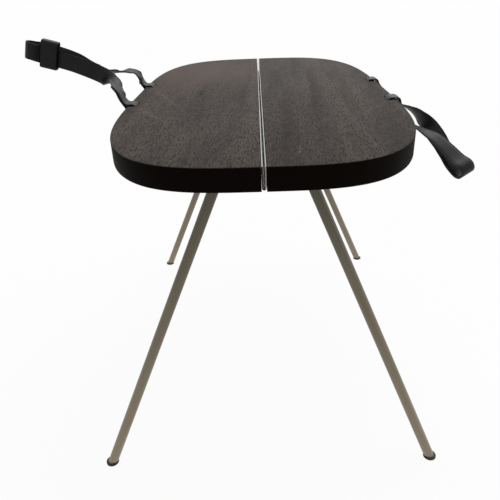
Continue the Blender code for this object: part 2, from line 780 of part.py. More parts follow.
def make_strap(strap, parts, material):
    """A ribbon along the strap's route, thickened with Solidify."""
    rows = strap.route()
    columns = (-0.5, 0.0, 0.5)
    verts = []
    for index, (point, width) in enumerate(rows):
        before = rows[max(index - 1, 0)][0]
        after = rows[min(index + 1, len(rows) - 1)][0]
        tangent = (after - before).normalized()
        across = (width - tangent * width.dot(tangent)).normalized()
        verts += [point - strap.root + across * STRAP_WIDTH * c for c in columns]
    count = len(columns)
    faces = [(r * count + c, r * count + c + 1, (r + 1) * count + c + 1, (r + 1) * count + c)
             for r in range(len(rows) - 1) for c in range(count - 1)]
    mesh = bpy.data.meshes.new(strap.name)
    mesh.from_pydata(verts, [], faces)
    ribbon = new_object(strap.name, mesh, parts, material)
    ribbon.location = strap.root
    solidify = ribbon.modifiers.new("leather", "SOLIDIFY")
    solidify.thickness = STRAP_THICKNESS
    solidify.offset = 0.0
    smooth(ribbon, 50.0)
    return ribbon


def make_keeper(strap, parts, material):
    """The leather band round both strands."""
    inner = rounded_ring(KEEPER_DEPTH / 2, KEEPER_HEIGHT / 2, KEEPER_THICKNESS)
    outer = rounded_ring(KEEPER_DEPTH / 2 + KEEPER_THICKNESS,
                         KEEPER_HEIGHT / 2 + KEEPER_THICKNESS, 2 * KEEPER_THICKNESS)
    keeper = plate("left_strap_keeper", [outer, inner],
                   -KEEPER_LENGTH / 2, KEEPER_LENGTH / 2, parts, material)
    hang = (KEEPER_HEIGHT - STRAP_WIDTH - strap.stagger()) / 4
    centre = strap.tip - strap.along * KEEPER_DISTANCE - strap.width * hang
    keeper.matrix_world = frame_matrix(
        centre, strap.width.cross(strap.along), strap.width, strap.along)
    smooth(keeper)
    return keeper


# The table put together

def hold(name, place, members, parent, parts):
    """An empty on a joint, or at the middle of a fixed group, that carries its pieces."""
    holder = bpy.data.objects.new(name, None)
    holder.empty_display_size = TUBE_RADIUS
    parts.objects.link(holder)
    holder.matrix_world = place
    bpy.context.view_layer.update()
    for member in members:
        member.parent = holder
        member.matrix_parent_inverse = holder.matrix_world.inverted()
    if parent:
        holder.parent = parent
        holder.matrix_parent_inverse = parent.matrix_world.inverted()
    return holder


def remove_everything():
    for obj in list(bpy.data.objects):
        bpy.data.objects.remove(obj)


def make_half(side_name, parts, cutters, materials):
    """The wood, hinge leaf and strap anchors of one half."""
    members = [make_panel(side_name, parts, cutters, materials["wood"]),
               make_rim(side_name, parts, cutters, materials["wood"]),
               make_rail(side_name, parts, materials["wood"]),
               make_leaf(side_name, parts, cutters, materials["bright"])]
    members += [make_anchor(side_name, end_name, parts, materials["leather"])
                for end_name in ENDS]
    return members


def make_mounting(leg, parts, cutters, materials):
    """What stays on the board when the leg folds."""
    return [make_bracket(leg, parts, cutters, materials["zinc"]),
            *make_screws(leg, parts, materials["zinc"]),
            make_bolt(leg, parts, materials["zinc"]),
            make_nut(leg, parts, cutters, materials["zinc"])]


def make_leg(leg, parts, cutters, materials):
    """What turns on the pivot bolt."""
    return [make_knuckle(leg, parts, cutters, materials["zinc"]),
            make_tube(leg, parts, cutters, materials["steel"]),
            make_pad(leg, parts, cutters, materials["rubber"])]


def main():
    remove_everything()
    parts = bpy.data.collections.new("camping_table")
    cutters = bpy.data.collections.new("cutters")
    for collection in (parts, cutters):
        bpy.context.scene.collection.children.link(collection)
    materials = make_materials()
    on_hinge = Matrix.Translation((0, 0, AXIS_HEIGHT))
    table = hold("table", on_hinge, [make_pin(parts, materials["bright"])], None, parts)
    for side_name in SIDES:
        members = make_half(side_name, parts, cutters, materials)
        for leg in legs_of(side_name):
            members += make_mounting(leg, parts, cutters, materials)
        half = hold(side_name + "_half", on_hinge, members, table, parts)
        for leg in legs_of(side_name):
            hold(leg.name + "_leg", leg.frame,
                 make_leg(leg, parts, cutters, materials), half, parts)
        strap = Strap(side_name)
        pieces = [make_strap(strap, parts, materials["leather"])]
        if side_name == "left":
            pieces.append(make_keeper(strap, parts, materials["leather"]))
        hold(side_name + "_strap_swing", Matrix.Translation(strap.root), pieces, half, parts)
    table.location.x = HINGE_X


main()
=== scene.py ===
import json
import math
from contextlib import contextmanager

import bmesh
import bpy
from bpy.props import FloatProperty, FloatVectorProperty, PointerProperty
from mathutils import Matrix, Vector


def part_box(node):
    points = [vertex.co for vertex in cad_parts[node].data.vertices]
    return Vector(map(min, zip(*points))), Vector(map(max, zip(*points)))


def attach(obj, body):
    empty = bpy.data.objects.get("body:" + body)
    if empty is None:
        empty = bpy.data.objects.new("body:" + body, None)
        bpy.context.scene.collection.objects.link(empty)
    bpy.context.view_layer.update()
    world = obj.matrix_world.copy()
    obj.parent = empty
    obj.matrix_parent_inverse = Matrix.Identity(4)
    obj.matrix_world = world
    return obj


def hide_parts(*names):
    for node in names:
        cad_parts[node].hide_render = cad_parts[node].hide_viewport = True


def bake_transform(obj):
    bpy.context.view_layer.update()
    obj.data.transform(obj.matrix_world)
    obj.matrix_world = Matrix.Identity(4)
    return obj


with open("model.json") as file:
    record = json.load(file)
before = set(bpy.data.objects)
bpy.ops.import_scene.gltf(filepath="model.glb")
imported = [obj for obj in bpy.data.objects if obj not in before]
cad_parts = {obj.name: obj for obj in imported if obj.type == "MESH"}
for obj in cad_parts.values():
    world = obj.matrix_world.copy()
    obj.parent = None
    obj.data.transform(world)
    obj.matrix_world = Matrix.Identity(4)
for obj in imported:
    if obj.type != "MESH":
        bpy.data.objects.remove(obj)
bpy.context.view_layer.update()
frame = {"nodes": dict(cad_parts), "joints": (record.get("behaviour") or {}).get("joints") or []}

bl_info = {
    "name": "Camping table finish",
    "version": (1, 0, 0),
    "blender": (4, 5, 0),
    "location": "View3D > Sidebar > Camping table",
    "description": "Finishes a folding camping table: stained boards, steel legs and leather straps",
    "category": "Object",
}

# The size of the frame as loaded, and where the hinge lies across it
HINGE = Vector(next(j["pos_m"] for j in frame["joints"] if j["name"] == "half_fold"))
HINGE_SHIFT = Vector((HINGE.x, 0.0, 0.0))
SIDES = {"left": -1, "right": 1}
ENDS = {"front": -1, "rear": 1}

# The boards' reach from the hinge's middle and their heights, from the frame
PANEL_LOW, PANEL_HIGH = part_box("right_top_panel")
HALF_LENGTH = PANEL_HIGH.y
HALF_WIDTH = PANEL_HIGH.x - HINGE.x
WOOD_EDGE = PANEL_LOW.x - HINGE.x
RAIL_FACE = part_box("right_hinge_rail")[1].x - HINGE.x
TOP = PANEL_HIGH.z
PANEL_UNDERSIDE = PANEL_LOW.z
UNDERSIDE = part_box("right_rim")[0].z

# The boards' own sizes. The corner power shapes the outline: 2 is an ellipse, more is squarer
CORNER_POWER = 3.42
OUTLINE_STEPS = 200
RIM_WIDTH = 0.022
SLOT_WIDTH = 0.0052
SLOT_LENGTH = 0.0310
SLOT_INSET = 0.0095
NOTCH_DEPTH = 0.0036
LOWER_ROUNDING_SHARE = 0.8
SEAM = 0.0003

# How far the hinge leaves' inner faces lie from its middle, and the screws
LEAF_FACE = 0.0012
LEAF_SCREW_COUNT = 13
LEAF_SCREW_RADIUS = 0.0024
LEAF_SCREW_SEED = 3.0
BRACKET_SCREW_SEED = 11.0

# The straps' routes from the hinge's middle, as X, Y, Z and the turn in degrees
STRANDS = {
    "left": {
        "front": [
            (-0.2190, -0.0725, 0.5290, 0), (-0.2262, -0.0620, 0.5368, -2),
            (-0.2330, -0.0465, 0.5410, -9), (-0.2450, -0.0285, 0.5432, 20),
            (-0.2615, -0.0075, 0.5483, 74), (-0.3050, -0.0033, 0.5665, 90),
            (-0.3600, -0.0033, 0.5842, 90)],
        "rear": [
            (-0.2182, 0.0790, 0.5315, 0), (-0.2255, 0.0650, 0.5405, 2),
            (-0.2365, 0.0450, 0.5450, 6), (-0.2490, 0.0220, 0.5482, 12),
            (-0.2590, 0.0085, 0.5500, 30), (-0.2720, 0.0040, 0.5535, 70),
            (-0.3050, 0.0033, 0.5715, 90), (-0.3600, 0.0033, 0.5900, 90)]},
    "right": {
        "front": [
            (0.2190, -0.0900, 0.4950, 0), (0.2300, -0.0940, 0.4755, 0),
            (0.2450, -0.0980, 0.4675, 5), (0.2575, -0.1020, 0.4608, 28),
            (0.2728, -0.1090, 0.4526, 64), (0.2890, -0.1240, 0.4380, 88),
            (0.3020, -0.1400, 0.4266, 90)],
        "rear": [
            (0.2185, 0.0700, 0.5040, 0), (0.2250, 0.0590, 0.4955, 0),
            (0.2360, 0.0300, 0.4850, 0), (0.2485, 0.0000, 0.4790, 4),
            (0.2580, -0.0300, 0.4748, 10), (0.2655, -0.0520, 0.4693, 19),
            (0.2720, -0.0680, 0.4625, 33), (0.2790, -0.0860, 0.4525, 55),
            (0.2860, -0.0990, 0.4410, 76), (0.2940, -0.1130, 0.4255, 90),
            (0.3015, -0.1290, 0.4118, 90)]}}
STRAP_TIPS = {"left": Vector((-0.385, 0.0, 0.5940)), "right": Vector((0.3147, -0.1520, 0.4087))}
STRAP_WIDTH = 0.027
STRAP_SEAT = 0.0026
STRAP_BEND_RADIUS = 0.0112

# From a strap's edge: the creased line, with its half width, and where the flat face starts
CREASE_INSET = 0.0023
CREASE_REACH = 0.0004
FACE_INSET = 0.0060

# The loops round the bar, and how each strap leaves its loop: steps outwards and up
LOOP_TURN = 0.0011
LOOP_TAIL = 0.0070
LOOP_CROWN = 0.0004
LOOP_EXITS = {
    "left": [(-0.0010, 0.0006), (0.0024, 0.0030), (0.0056, 0.0082)],
    "right": [(-0.0006, 0.0004), (0.0027, -0.0014), (0.0040, -0.0051)]}

# The sewn ends: the left strap's own end is lapped over its strand. A seam lies on the face
# that looks up (1) or down (-1), this many thicknesses of leather from the strand's middle
LAP_LENGTH = 0.027
LAP_ROW_SPACING = 0.005
LAP_LAYER = 1.03
SEWN_STRETCH = {"left": (0.0105, LAP_LENGTH - 0.0030), "right": (0.0075, 0.0190)}
SEAM_FACES = {"left": ((1, 0.5), (-1, 1.53)), "right": ((1, 0.5),)}
STITCH_INSET = 0.0036
STITCH_LIFT = 0.0001

# The keeper, and the two lines of stitches across its rear face
KEEPER_DISTANCE = 0.0400
KEEPER_LENGTH = 0.027
KEEPER_HEIGHT = 0.0405
KEEPER_DEPTH = 0.0122
KEEPER_THICKNESS = 0.0024
KEEPER_CORNER = 0.0038
KEEPER_CORNER_STEPS = 8
KEEPER_SEAM_REACH = 0.012
KEEPER_SEAM_OFFSET = 0.0035

# How bright the painted shade on the leaves' cut ends is: lighter on the right one than on the left
HINGE_END_SHADE_SHARE = {"left": 1.0, "right": 7.0}

# Marks in the wood's upper face from the hinge's middle, one of them painted sheen: place, half size,
# strength, colour
WOOD_MARKS = (
    ((-0.0995, -0.0060), (0.0030, 0.0095), 0.85, (0.006, 0.005, 0.005)),
    ((-0.1040, 0.0060), (0.0080, 0.0260), 0.30, (0.016, 0.013, 0.012)),
    # A lighter, warmer patch over the rear of the left half: partly a warmer tint, partly painted
    # sheen
    ((-0.1350, 0.2400), (0.1700, 0.2400), 0.80, (0.096, 0.074, 0.064)),
    ((0.0485, -0.1010), (0.0022, 0.0130), 0.75, (0.008, 0.007, 0.006)),
    ((0.0425, -0.3310), (0.0013, 0.0024), 0.60, (0.26, 0.24, 0.22)),
    ((0.0415, -0.3420), (0.0012, 0.0020), 0.45, (0.22, 0.20, 0.18)),
    ((0.0408, -0.3530), (0.0016, 0.0026), 0.70, (0.30, 0.28, 0.26)))

# The camera at the photograph's place: turns in degrees, lens and sensor in millimetres
CAMERA_PLACE = HINGE.x - 0.0052, -0.913, 0.6863
CAMERA_YAW = -1.380
CAMERA_PITCH = 27.705
CAMERA_ROLL = -2.229
CAMERA_LENS = 37.44
CAMERA_SENSOR = 36.0
CAMERA_REACH = 100.0

# Where each light comes from, and the degrees over which it spreads
LIGHTS = {"key": ((0.25, 0.55, 1.0), 70.0), "side": ((1.0, 0.25, 0.35), 50.0)}

# The floor, and how much of its white is its own glow. The rest takes the shadow
FLOOR_REACH = 40.0
FLOOR_COLOUR = 0.88, 0.88, 0.88, 1.0
FLOOR_GLOW = 0.93
WHITE = 1.0, 1.0, 1.0, 1.0


# Node helpers

def add(tree, kind, inputs=None, **settings):
    """A node with its settings, and its inputs as values or as sockets to link."""
    node = tree.nodes.new(kind)
    for name, value in settings.items():
        setattr(node, name, value)
    for name, value in (inputs or {}).items():
        if isinstance(value, bpy.types.NodeSocket):
            tree.links.new(value, node.inputs[name])
        else:
            node.inputs[name].default_value = value
    return node


def compute(tree, operation, *values):
    return add(tree, "ShaderNodeMath", dict(enumerate(values)), operation=operation).outputs[0]


def ramp(tree, source, low, high):
    """Spreads the range from low to high over 0 to 1."""
    return add(tree, "ShaderNodeMapRange", {0: source, 1: low, 2: high}).outputs[0]


def blend_colours(tree, factor, first, second):
    """From the first colour at 0 to the second at 1. Each is a colour or a socket."""
    node = add(tree, "ShaderNodeMix", {0: factor}, data_type="RGBA")
    for index, value in ((6, first), (7, second)):
        if isinstance(value, bpy.types.NodeSocket):
            tree.links.new(value, node.inputs[index])
        else:
            node.inputs[index].default_value = (*value[:3], 1.0)
    return node.outputs[2]


def tint(colour, factor):
    return tuple(c * factor for c in colour)


def start_material(name):
    material = bpy.data.materials.new(name)
    material.use_nodes = True
    tree = material.node_tree
    return material, tree, tree.nodes["Principled BSDF"]


def own_place(tree):
    return add(tree, "ShaderNodeTexCoord").outputs["Object"]


def stretched(tree, scale, turn=(0.0, 0.0, 0.0)):
    """The object's own coordinates, turned and then scaled per axis."""
    turned = add(tree, "ShaderNodeMapping", {"Vector": own_place(tree), "Rotation": turn})
    return add(tree, "ShaderNodeMapping", {
        "Vector": turned.outputs[0], "Scale": scale}).outputs[0]


def noise(tree, vector, scale=1.0, detail=3.0, distortion=0.0):
    return add(tree, "ShaderNodeTexNoise", {
        "Vector": vector, "Scale": scale, "Detail": detail,
        "Distortion": distortion}).outputs["Fac"]


def paint(tree, shader, tone):
    tree.links.new(tone, shader.inputs["Base Color"])


def roughen(tree, shader, pattern, low, high):
    """A roughness from low to high that follows a pattern."""
    rough = add(tree, "ShaderNodeMapRange", {0: pattern, 3: low, 4: high}).outputs[0]
    tree.links.new(rough, shader.inputs["Roughness"])


def bump(tree, shader, height, strength, distance):
    node = add(tree, "ShaderNodeBump", {
        "Height": height, "Strength": strength, "Distance": distance})
    tree.links.new(node.outputs[0], shader.inputs["Normal"])


def facing(tree, axis):
    """How far a face looks along one of the object's own axes, either way, from 0 to 1."""
    normal = add(tree, "ShaderNodeTexCoord").outputs["Normal"]
    parts = add(tree, "ShaderNodeSeparateXYZ", {0: normal})
    return compute(tree, "ABSOLUTE", parts.outputs[axis])


def mark(tree, place, size, strength):
    """A soft spot of the given size round a place, as a factor."""
    spot = add(tree, "ShaderNodeVectorMath", {
        0: own_place(tree), 1: (place[0] + HINGE.x, place[1], TOP)}, operation="SUBTRACT")
    spread = add(tree, "ShaderNodeVectorMath", {
        0: spot.outputs[0], 1: (1 / size[0], 1 / size[1], 1 / size[0])}, operation="MULTIPLY")
    distance = add(tree, "ShaderNodeVectorMath", {0: spread.outputs[0]}, operation="LENGTH")
    return add(tree, "ShaderNodeMapRange", {
        0: distance.outputs["Value"], 1: 0.3, 2: 1.0, 3: strength, 4: 0.0}).outputs[0]


# Materials

def stained_wood(colour, edge_stain_and_shade):
    """Dark open-pored wood, stained nearly black, with fine straight pores along the hinge."""
    material, tree, shader = start_material("dark_stained_wood")
    bands = noise(tree, stretched(tree, (34.0, 2.4, 34.0), (0, 0, 0.05)), detail=4.0, distortion=0.6)
    figure = noise(tree, stretched(tree, (60.0, 22.0, 60.0), (0, 0, 0.5)), detail=2.0, distortion=1.2)
    pores = noise(tree, stretched(tree, (900.0, 110.0, 900.0), (0, 0, 0.04)), distortion=0.2)
    fibres = noise(tree, stretched(tree, (2200.0, 90.0, 2200.0)), detail=2.0)
    light = tint(colour, 1.45)
    tone = blend_colours(tree, ramp(tree, bands, 0.36, 0.66), tint(colour, 0.55), light)
    tone = blend_colours(tree, ramp(tree, figure, 0.25, 1.25), tone, light)
    pore = ramp(tree, pores, 0.40, 0.52)
    tone = blend_colours(tree, pore, tint(colour, 0.42), tone)
    for place, size, strength, stain in WOOD_MARKS:
        tone = blend_colours(tree, mark(tree, place, size, strength), tone, stain)
    # The sideways faces take the darker edge colour: partly deeper stain, partly painted shade
    tone = blend_colours(tree, ramp(tree, facing(tree, 2), 0.35, 0.85), edge_stain_and_shade, tone)
    paint(tree, shader, tone)
    roughen(tree, shader, fibres, 0.50, 0.72)
    shader.inputs["Specular IOR Level"].default_value = 0.02
    bump(tree, shader, compute(tree, "ADD", pore, fibres), strength=0.35, distance=0.0002)
    return material


def brushed_steel(name, colour, along, roughness, metallic):
    """Satin steel with long brushed streaks along the piece. Its colour is still to be set."""
    material, tree, shader = start_material(name)
    turn = Vector((0, 0, 1)).rotation_difference(Vector(along)).inverted().to_euler()
    streaks = noise(tree, stretched(tree, (900.0, 900.0, 9.0), turn))
    patches = noise(tree, stretched(tree, (60.0, 60.0, 7.0), turn), distortion=0.4)
    tone = blend_colours(tree, ramp(tree, streaks, 0.3, 0.7), tint(colour, 0.80),
                         tint(colour, 1.14))
    tone = blend_colours(tree, ramp(tree, patches, 0.35, 0.75), tone, tint(colour, 0.82))
    shader.inputs["Metallic"].default_value = metallic
    shader.inputs["Anisotropic"].default_value = 0.35
    roughen(tree, shader, streaks, roughness * 0.85, roughness * 1.2)
    bump(tree, shader, streaks, strength=0.12, distance=0.0001)
    return material, tree, shader, tone


def leg_steel(name, colour, painted_shade, along):
    """Warm satin steel, with painted shade that makes it darker towards the upper end, under the top.
    """
    material, tree, shader, tone = brushed_steel(name, colour, along, roughness=0.38,
                                                metallic=0.5)
    height = add(tree, "ShaderNodeSeparateXYZ", {0: own_place(tree)}).outputs[2]
    # Painted shade: the colour is darkened towards the upper end, where the top shades the legs
    shaded_tone = add(tree, "ShaderNodeMix", {0: ramp(tree, height, 0.0, UNDERSIDE), 6: tone},
               data_type="RGBA", blend_type="MULTIPLY")
    shaded_tone.inputs[7].default_value = (*painted_shade, 1.0)
    paint(tree, shader, shaded_tone.outputs[2])
    return material


def hinge_steel(name, colour, painted_shade):
    """Steel with painted light: a painted reflection inside the fold, painted glints on the corners
    and painted shade on the cut ends.
    """
    material, tree, shader, tone = brushed_steel(name, colour, (0, 1, 0), roughness=0.24,
                                                metallic=1.0)
    # Painted reflection: the faces that look sideways, inside the fold, are brighter
    tone = blend_colours(tree, ramp(tree, facing(tree, 0), 0.5, 0.9), tone, tint(colour, 1.5))
    # Painted glints: the rounded corners that look part way forward or back are near white
    tone = blend_colours(tree, ramp(tree, facing(tree, 1), 0.25, 0.4), tone, (0.92, 0.91, 0.88))
    # Painted shade: the cut ends, which look forward or back, are dark
    tone = blend_colours(tree, ramp(tree, facing(tree, 1), 0.85, 0.95), tone, painted_shade)
    paint(tree, shader, tone)
    return material


def zinc_plate():
    """Dull zinc plating with faint mottling."""
    material, tree, shader = start_material("zinc_plated_steel")
    cells = add(tree, "ShaderNodeTexVoronoi", {
        "Vector": own_place(tree), "Scale": 420.0}).outputs["Color"]
    mottle = add(tree, "ShaderNodeSeparateXYZ", {0: cells}).outputs[0]
    paint(tree, shader, blend_colours(tree, mottle, (0.40, 0.40, 0.39), (0.56, 0.56, 0.53)))
    shader.inputs["Metallic"].default_value = 1.0
    roughen(tree, shader, mottle, 0.34, 0.50)
    bump(tree, shader, mottle, strength=0.08, distance=0.0001)
    return material


def black_rubber():
    """Matt moulded rubber with a little dust on it."""
    material, tree, shader = start_material("black_rubber")
    dust = noise(tree, own_place(tree), scale=260.0, detail=5.0)
    paint(tree, shader, blend_colours(tree, ramp(tree, dust, 0.35, 0.8), (0.008, 0.008, 0.008),
                                      (0.030, 0.029, 0.027)))
    roughen(tree, shader, dust, 0.62, 0.88)
    bump(tree, shader, dust, strength=0.25, distance=0.0003)
    return material


def black_leather(colour, roughness):
    """Smooth bridle leather: a fine pebble grain, faint creases and worn, shinier places."""
    material, tree, shader = start_material("black_leather")
    place = own_place(tree)
    pebbles = add(tree, "ShaderNodeTexVoronoi", {
        "Vector": place, "Scale": 1150.0}, feature="DISTANCE_TO_EDGE").outputs["Distance"]
    creases = noise(tree, place, scale=160.0, detail=4.0, distortion=1.5)
    wear = noise(tree, place, scale=38.0, distortion=0.4)
    paint(tree, shader, blend_colours(tree, ramp(tree, wear, 0.40, 0.72), colour,
                                      tint(colour, 2.1)))
    roughen(tree, shader, wear, roughness * 1.15, roughness * 0.80)
    shader.inputs["Specular IOR Level"].default_value = 0.17
    grain = compute(tree, "ADD", ramp(tree, pebbles, 0.0, 0.25), ramp(tree, creases, 0.35, 0.6))
    bump(tree, shader, grain, strength=0.28, distance=0.00012)
    return material


def waxed_thread():
    """Black thread with its twist."""
    material, tree, shader = start_material("waxed_thread")
    twist = add(tree, "ShaderNodeTexWave", {
        "Vector": own_place(tree), "Scale": 900.0, "Distortion": 1.0}).outputs["Fac"]
    paint(tree, shader, blend_colours(tree, twist, (0.012, 0.011, 0.011), (0.045, 0.043, 0.042)))
    shader.inputs["Roughness"].default_value = 0.55
    bump(tree, shader, twist, strength=0.3, distance=0.0001)
    return material


# Mesh helpers

def placed(name, data):
    """A new object in the scene, with the given data."""
    obj = bpy.data.objects.new(name, data)
    bpy.context.scene.collection.objects.link(obj)
    return obj


def new_piece(name, mesh, body, slot, material, *nodes):
    """A finished piece that rides on a body and stands for its CAD nodes."""
    piece = placed(name, mesh)
    mesh.materials.clear()
    mesh.materials.append(material)
    if body:
        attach(piece, body)
    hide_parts(*nodes)
    return piece


@contextmanager
def edited(mesh, source=None):
    """A mesh opened for editing and written back at the end. It may start from another mesh."""
    work = bmesh.new()
    work.from_mesh(mesh if source is None else source)
    yield work
    work.to_mesh(mesh)
    work.free()


def join_doubles(work):
    bmesh.ops.remove_doubles(work, verts=work.verts, dist=1e-6)


def turn_outwards(work):
    bmesh.ops.recalc_face_normals(work, faces=work.faces)


def shade(mesh, angle=35.0):
    mesh.shade_smooth()
    mesh.set_sharp_from_angle(angle=math.radians(angle))


def merged_copy(node):
    """A CAD node's mesh, with triangles joined, flat faces made whole and round ones smooth."""
    mesh = bpy.data.meshes.new(node)
    with edited(mesh, frame["nodes"][node].data) as work:
        join_doubles(work)
        bmesh.ops.dissolve_limit(work, angle_limit=math.radians(0.5), verts=work.verts,
                                 edges=work.edges)
    shade(mesh)
    return mesh


def evaluated(guide):
    """The plain mesh that an object's modifiers make. The object is removed."""
    bpy.context.view_layer.update()
    depsgraph = bpy.context.evaluated_depsgraph_get()
    mesh = bpy.data.meshes.new_from_object(guide.evaluated_get(depsgraph))
    bpy.data.objects.remove(guide)
    return mesh


def softened(mesh, width, segments=2):
    """The mesh with its sharp edges rounded by a Bevel modifier."""
    guide = placed("edge_guide", mesh)
    bevel = guide.modifiers.new("edges", "BEVEL")
    bevel.width = width
    bevel.segments = segments
    bevel.limit_method = "ANGLE"
    bevel.angle_limit = math.radians(40)
    bevel.harden_normals = False
    return evaluated(guide)


def plate(name, outlines, bottom, top):
    """A flat solid object between two heights. Outlines after the first are holes."""
    curve = bpy.data.curves.new(name, "CURVE")
    curve.dimensions = "2D"
    curve.fill_mode = "BOTH"
    curve.extrude = (top - bottom) / 2
    for outline in outlines:
        spline = curve.splines.new("POLY")
        spline.points.add(len(outline) - 1)
        for point, (x, y) in zip(spline.points, outline):
            point.co = (x, y, 0.0, 1.0)
        spline.use_cyclic_u = True
    mesh = evaluated(placed(name, curve))
    with edited(mesh) as work:
        join_doubles(work)
        turn_outwards(work)
    mesh.transform(Matrix.Translation((0, 0, (top + bottom) / 2)))
    return placed(name, mesh)


def carve(obj, cutters):
    """Cuts the cutters out of the object, and removes them."""
    for cutter in cutters:
        cut = obj.modifiers.new("cut", "BOOLEAN")
        cut.operation = "DIFFERENCE"
        cut.solver = "EXACT"
        cut.object = cutter
    mesh = evaluated(obj)
    for cutter in cutters:
        bpy.data.objects.remove(cutter)
    return mesh


def block(low, high):
    """A plain box between two corners, for use as a cutter."""
    low, high = Vector(low), Vector(high)
    mesh = bpy.data.meshes.new("block")
    with edited(mesh) as work:
        bmesh.ops.create_cube(work, size=1.0)
        for vert in work.verts:
            vert.co = Vector(c * s for c, s in zip(vert.co, high - low)) + (low + high) / 2
    return placed("block", mesh)


# The boards

def board_outline(side, inset=0.0, nearest=WOOD_EDGE):
    """One half's curved edge from its front hinge corner to its rear one, about the hinge."""
    limit = math.acos(WOOD_EDGE / HALF_LENGTH)
    points = []
    for i in range(OUTLINE_STEPS + 1):
        angle = limit * (2 * i / OUTLINE_STEPS - 1)
        c, s = math.cos(angle), math.sin(angle)
        reach = (abs(c / HALF_WIDTH) ** CORNER_POWER
                 + abs(s / HALF_LENGTH) ** CORNER_POWER) ** (-1 / CORNER_POWER)
        x, y = reach * c, reach * s
        normal = Vector((
            math.copysign(abs(x / HALF_WIDTH) ** (CORNER_POWER - 1) / HALF_WIDTH, x),
            math.copysign(abs(y / HALF_LENGTH) ** (CORNER_POWER - 1) / HALF_LENGTH, y)))
        point = Vector((x, y)) - normal.normalized() * inset
        if point.x >= nearest - 1e-9 or not inset:
            points.append((HINGE.x + side * max(point.x, nearest), point.y))
    return points


def slot_outline(side, place_y, steps=8):
    """A round-ended slot that lies along the edge."""
    radius = SLOT_WIDTH / 2
    centre = HALF_WIDTH - SLOT_INSET - radius
    straight = SLOT_LENGTH / 2 - radius
    points = []
    for sign in (1, -1):
        for i in range(steps + 1):
            angle = math.pi * i / steps + (0 if sign > 0 else math.pi)
            points.append((HINGE.x + side * centre + radius * math.cos(angle),
                           place_y + sign * straight + radius * math.sin(angle)))
    return points


def slot_place(side_name, end_name):
    """Where a slot lies along the table, from the strap anchor in it."""
    low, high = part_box("_".join((side_name, end_name, "strap_anchor")))
    return (low.y + high.y) / 2


def make_board(side_name, rounding):
    """A half as one glued-up board: slots, notches under the straps, and a tray for the legs."""
    side = SIDES[side_name]
    places = [slot_place(side_name, end_name) for end_name in ENDS]
    board = plate(side_name + "_board_guide",
                  [board_outline(side)] + [slot_outline(side, y) for y in places], UNDERSIDE, TOP)
    with edited(board.data) as work:
        for height, width in ((TOP, rounding), (UNDERSIDE, rounding * LOWER_ROUNDING_SHARE)):
            edges = [e for e in work.edges
                     if all(abs(v.co.z - height) < 1e-6 for v in e.verts)
                     and any(abs(f.normal.z) < 0.5 for f in e.link_faces)]
            bmesh.ops.bevel(work, geom=edges, offset=width, offset_type="OFFSET", segments=3,
                            profile=0.5, affect="EDGES")
    below = UNDERSIDE - RIM_WIDTH
    cutters = [plate("tray", [board_outline(side, RIM_WIDTH, RAIL_FACE)], below, PANEL_UNDERSIDE)]
    inner = HINGE.x + side * (HALF_WIDTH - SLOT_INSET - SLOT_WIDTH)
    outer = HINGE.x + side * (HALF_WIDTH + RIM_WIDTH)
    for place_y in places:
        cutters.append(block((min(inner, outer), place_y - SLOT_LENGTH / 2, below),
                             (max(inner, outer), place_y + SLOT_LENGTH / 2,
                              UNDERSIDE + NOTCH_DEPTH)))
    mesh = carve(board, cutters)
    shade(mesh)
    return mesh


# The straps

def slope(before, here, after):
    """The direction of travel at a row, per unit of the curve's length."""
    gone = (here[0] - before[0]).length
    ahead = (after[0] - here[0]).length
    if not gone or not ahead:
        return (after[0] - before[0]).normalized()
    return ((here[0] - before[0]) / gone * ahead + (after[0] - here[0]) / ahead * gone) / (
        gone + ahead)


def smooth_rows(rows, spacing=0.0022):
    """A smooth curve through rows of a point and the width's direction."""
    dense = []
    for i in range(len(rows) - 1):
        near, far = rows[i], rows[i + 1]
        length = (far[0] - near[0]).length
        before = rows[i - 1] if i else near
        after = rows[i + 2] if i + 2 < len(rows) else far
        leave = slope(before, near, far) * length
        arrive = slope(near, far, after) * length
        count = max(1, round(length / spacing))
        for k in range(count):
            t = k / count
            point = (near[0] * (1 + t * t * (2 * t - 3)) + far[0] * t * t * (3 - 2 * t)
                     + leave * t * (1 - t) ** 2 + arrive * t * t * (t - 1))
            dense.append((point, near[1].slerp(far[1], t)))
    return dense + [rows[-1]]


def band_frames(rows, closed=False):
    """Each row's point, width direction and normal, and its distance along the route."""
    found, distance = [], 0.0
    count = len(rows)
    for i, (point, width) in enumerate(rows):
        before = rows[(i - 1) % count if closed else max(i - 1, 0)][0]
        after = rows[(i + 1) % count if closed else min(i + 1, count - 1)][0]
        tangent = (after - before).normalized()
        across = (width - tangent * width.dot(tangent)).normalized()
        if i:
            distance += (point - rows[i - 1][0]).length
        found.append((point, across, tangent.cross(across), distance))
    return found


def band_section(width, thickness):
    """A strap's cross-section: rounded edges and a creased line beside each edge."""
    half, rise = width / 2, thickness / 2
    crease = half - CREASE_INSET
    upper = [(half, 0.0), (half - 0.10 * rise, 0.48 * rise), (half - 0.42 * rise, 0.84 * rise),
             (half - rise, 0.97 * rise), (crease + CREASE_REACH, 0.99 * rise),
             (crease, 0.78 * rise), (crease - CREASE_REACH, 0.99 * rise),
             (half - FACE_INSET, rise), (half * 0.25, rise)]
    upper += [(-u, w) for u, w in reversed(upper)]
    return upper + [(u, -w) for u, w in reversed(upper[1:-1])]


def sweep(name, rows, width, thickness, closed=False):
    """A band along the rows, with closed ends unless the band is a ring."""
    section = band_section(width, thickness)
    verts, faces = [], []
    for point, across, normal, _ in band_frames(rows, closed):
        verts += [point + across * u + normal * w for u, w in section]
    count, turns = len(section), len(rows)
    for r in range(turns if closed else turns - 1):
        near, far = r * count, (r + 1) % turns * count
        for c in range(count):
            d = (c + 1) % count
            faces.append((near + c, far + c, far + d, near + d))
    if not closed:
        faces.append(tuple(range(count)))
        faces.append(tuple((turns - 1) * count + c for c in reversed(range(count))))
    mesh = bpy.data.meshes.new(name)
    mesh.from_pydata(verts, [], faces)
    with edited(mesh) as work:
        turn_outwards(work)
    shade(mesh, angle=50.0)
    return mesh


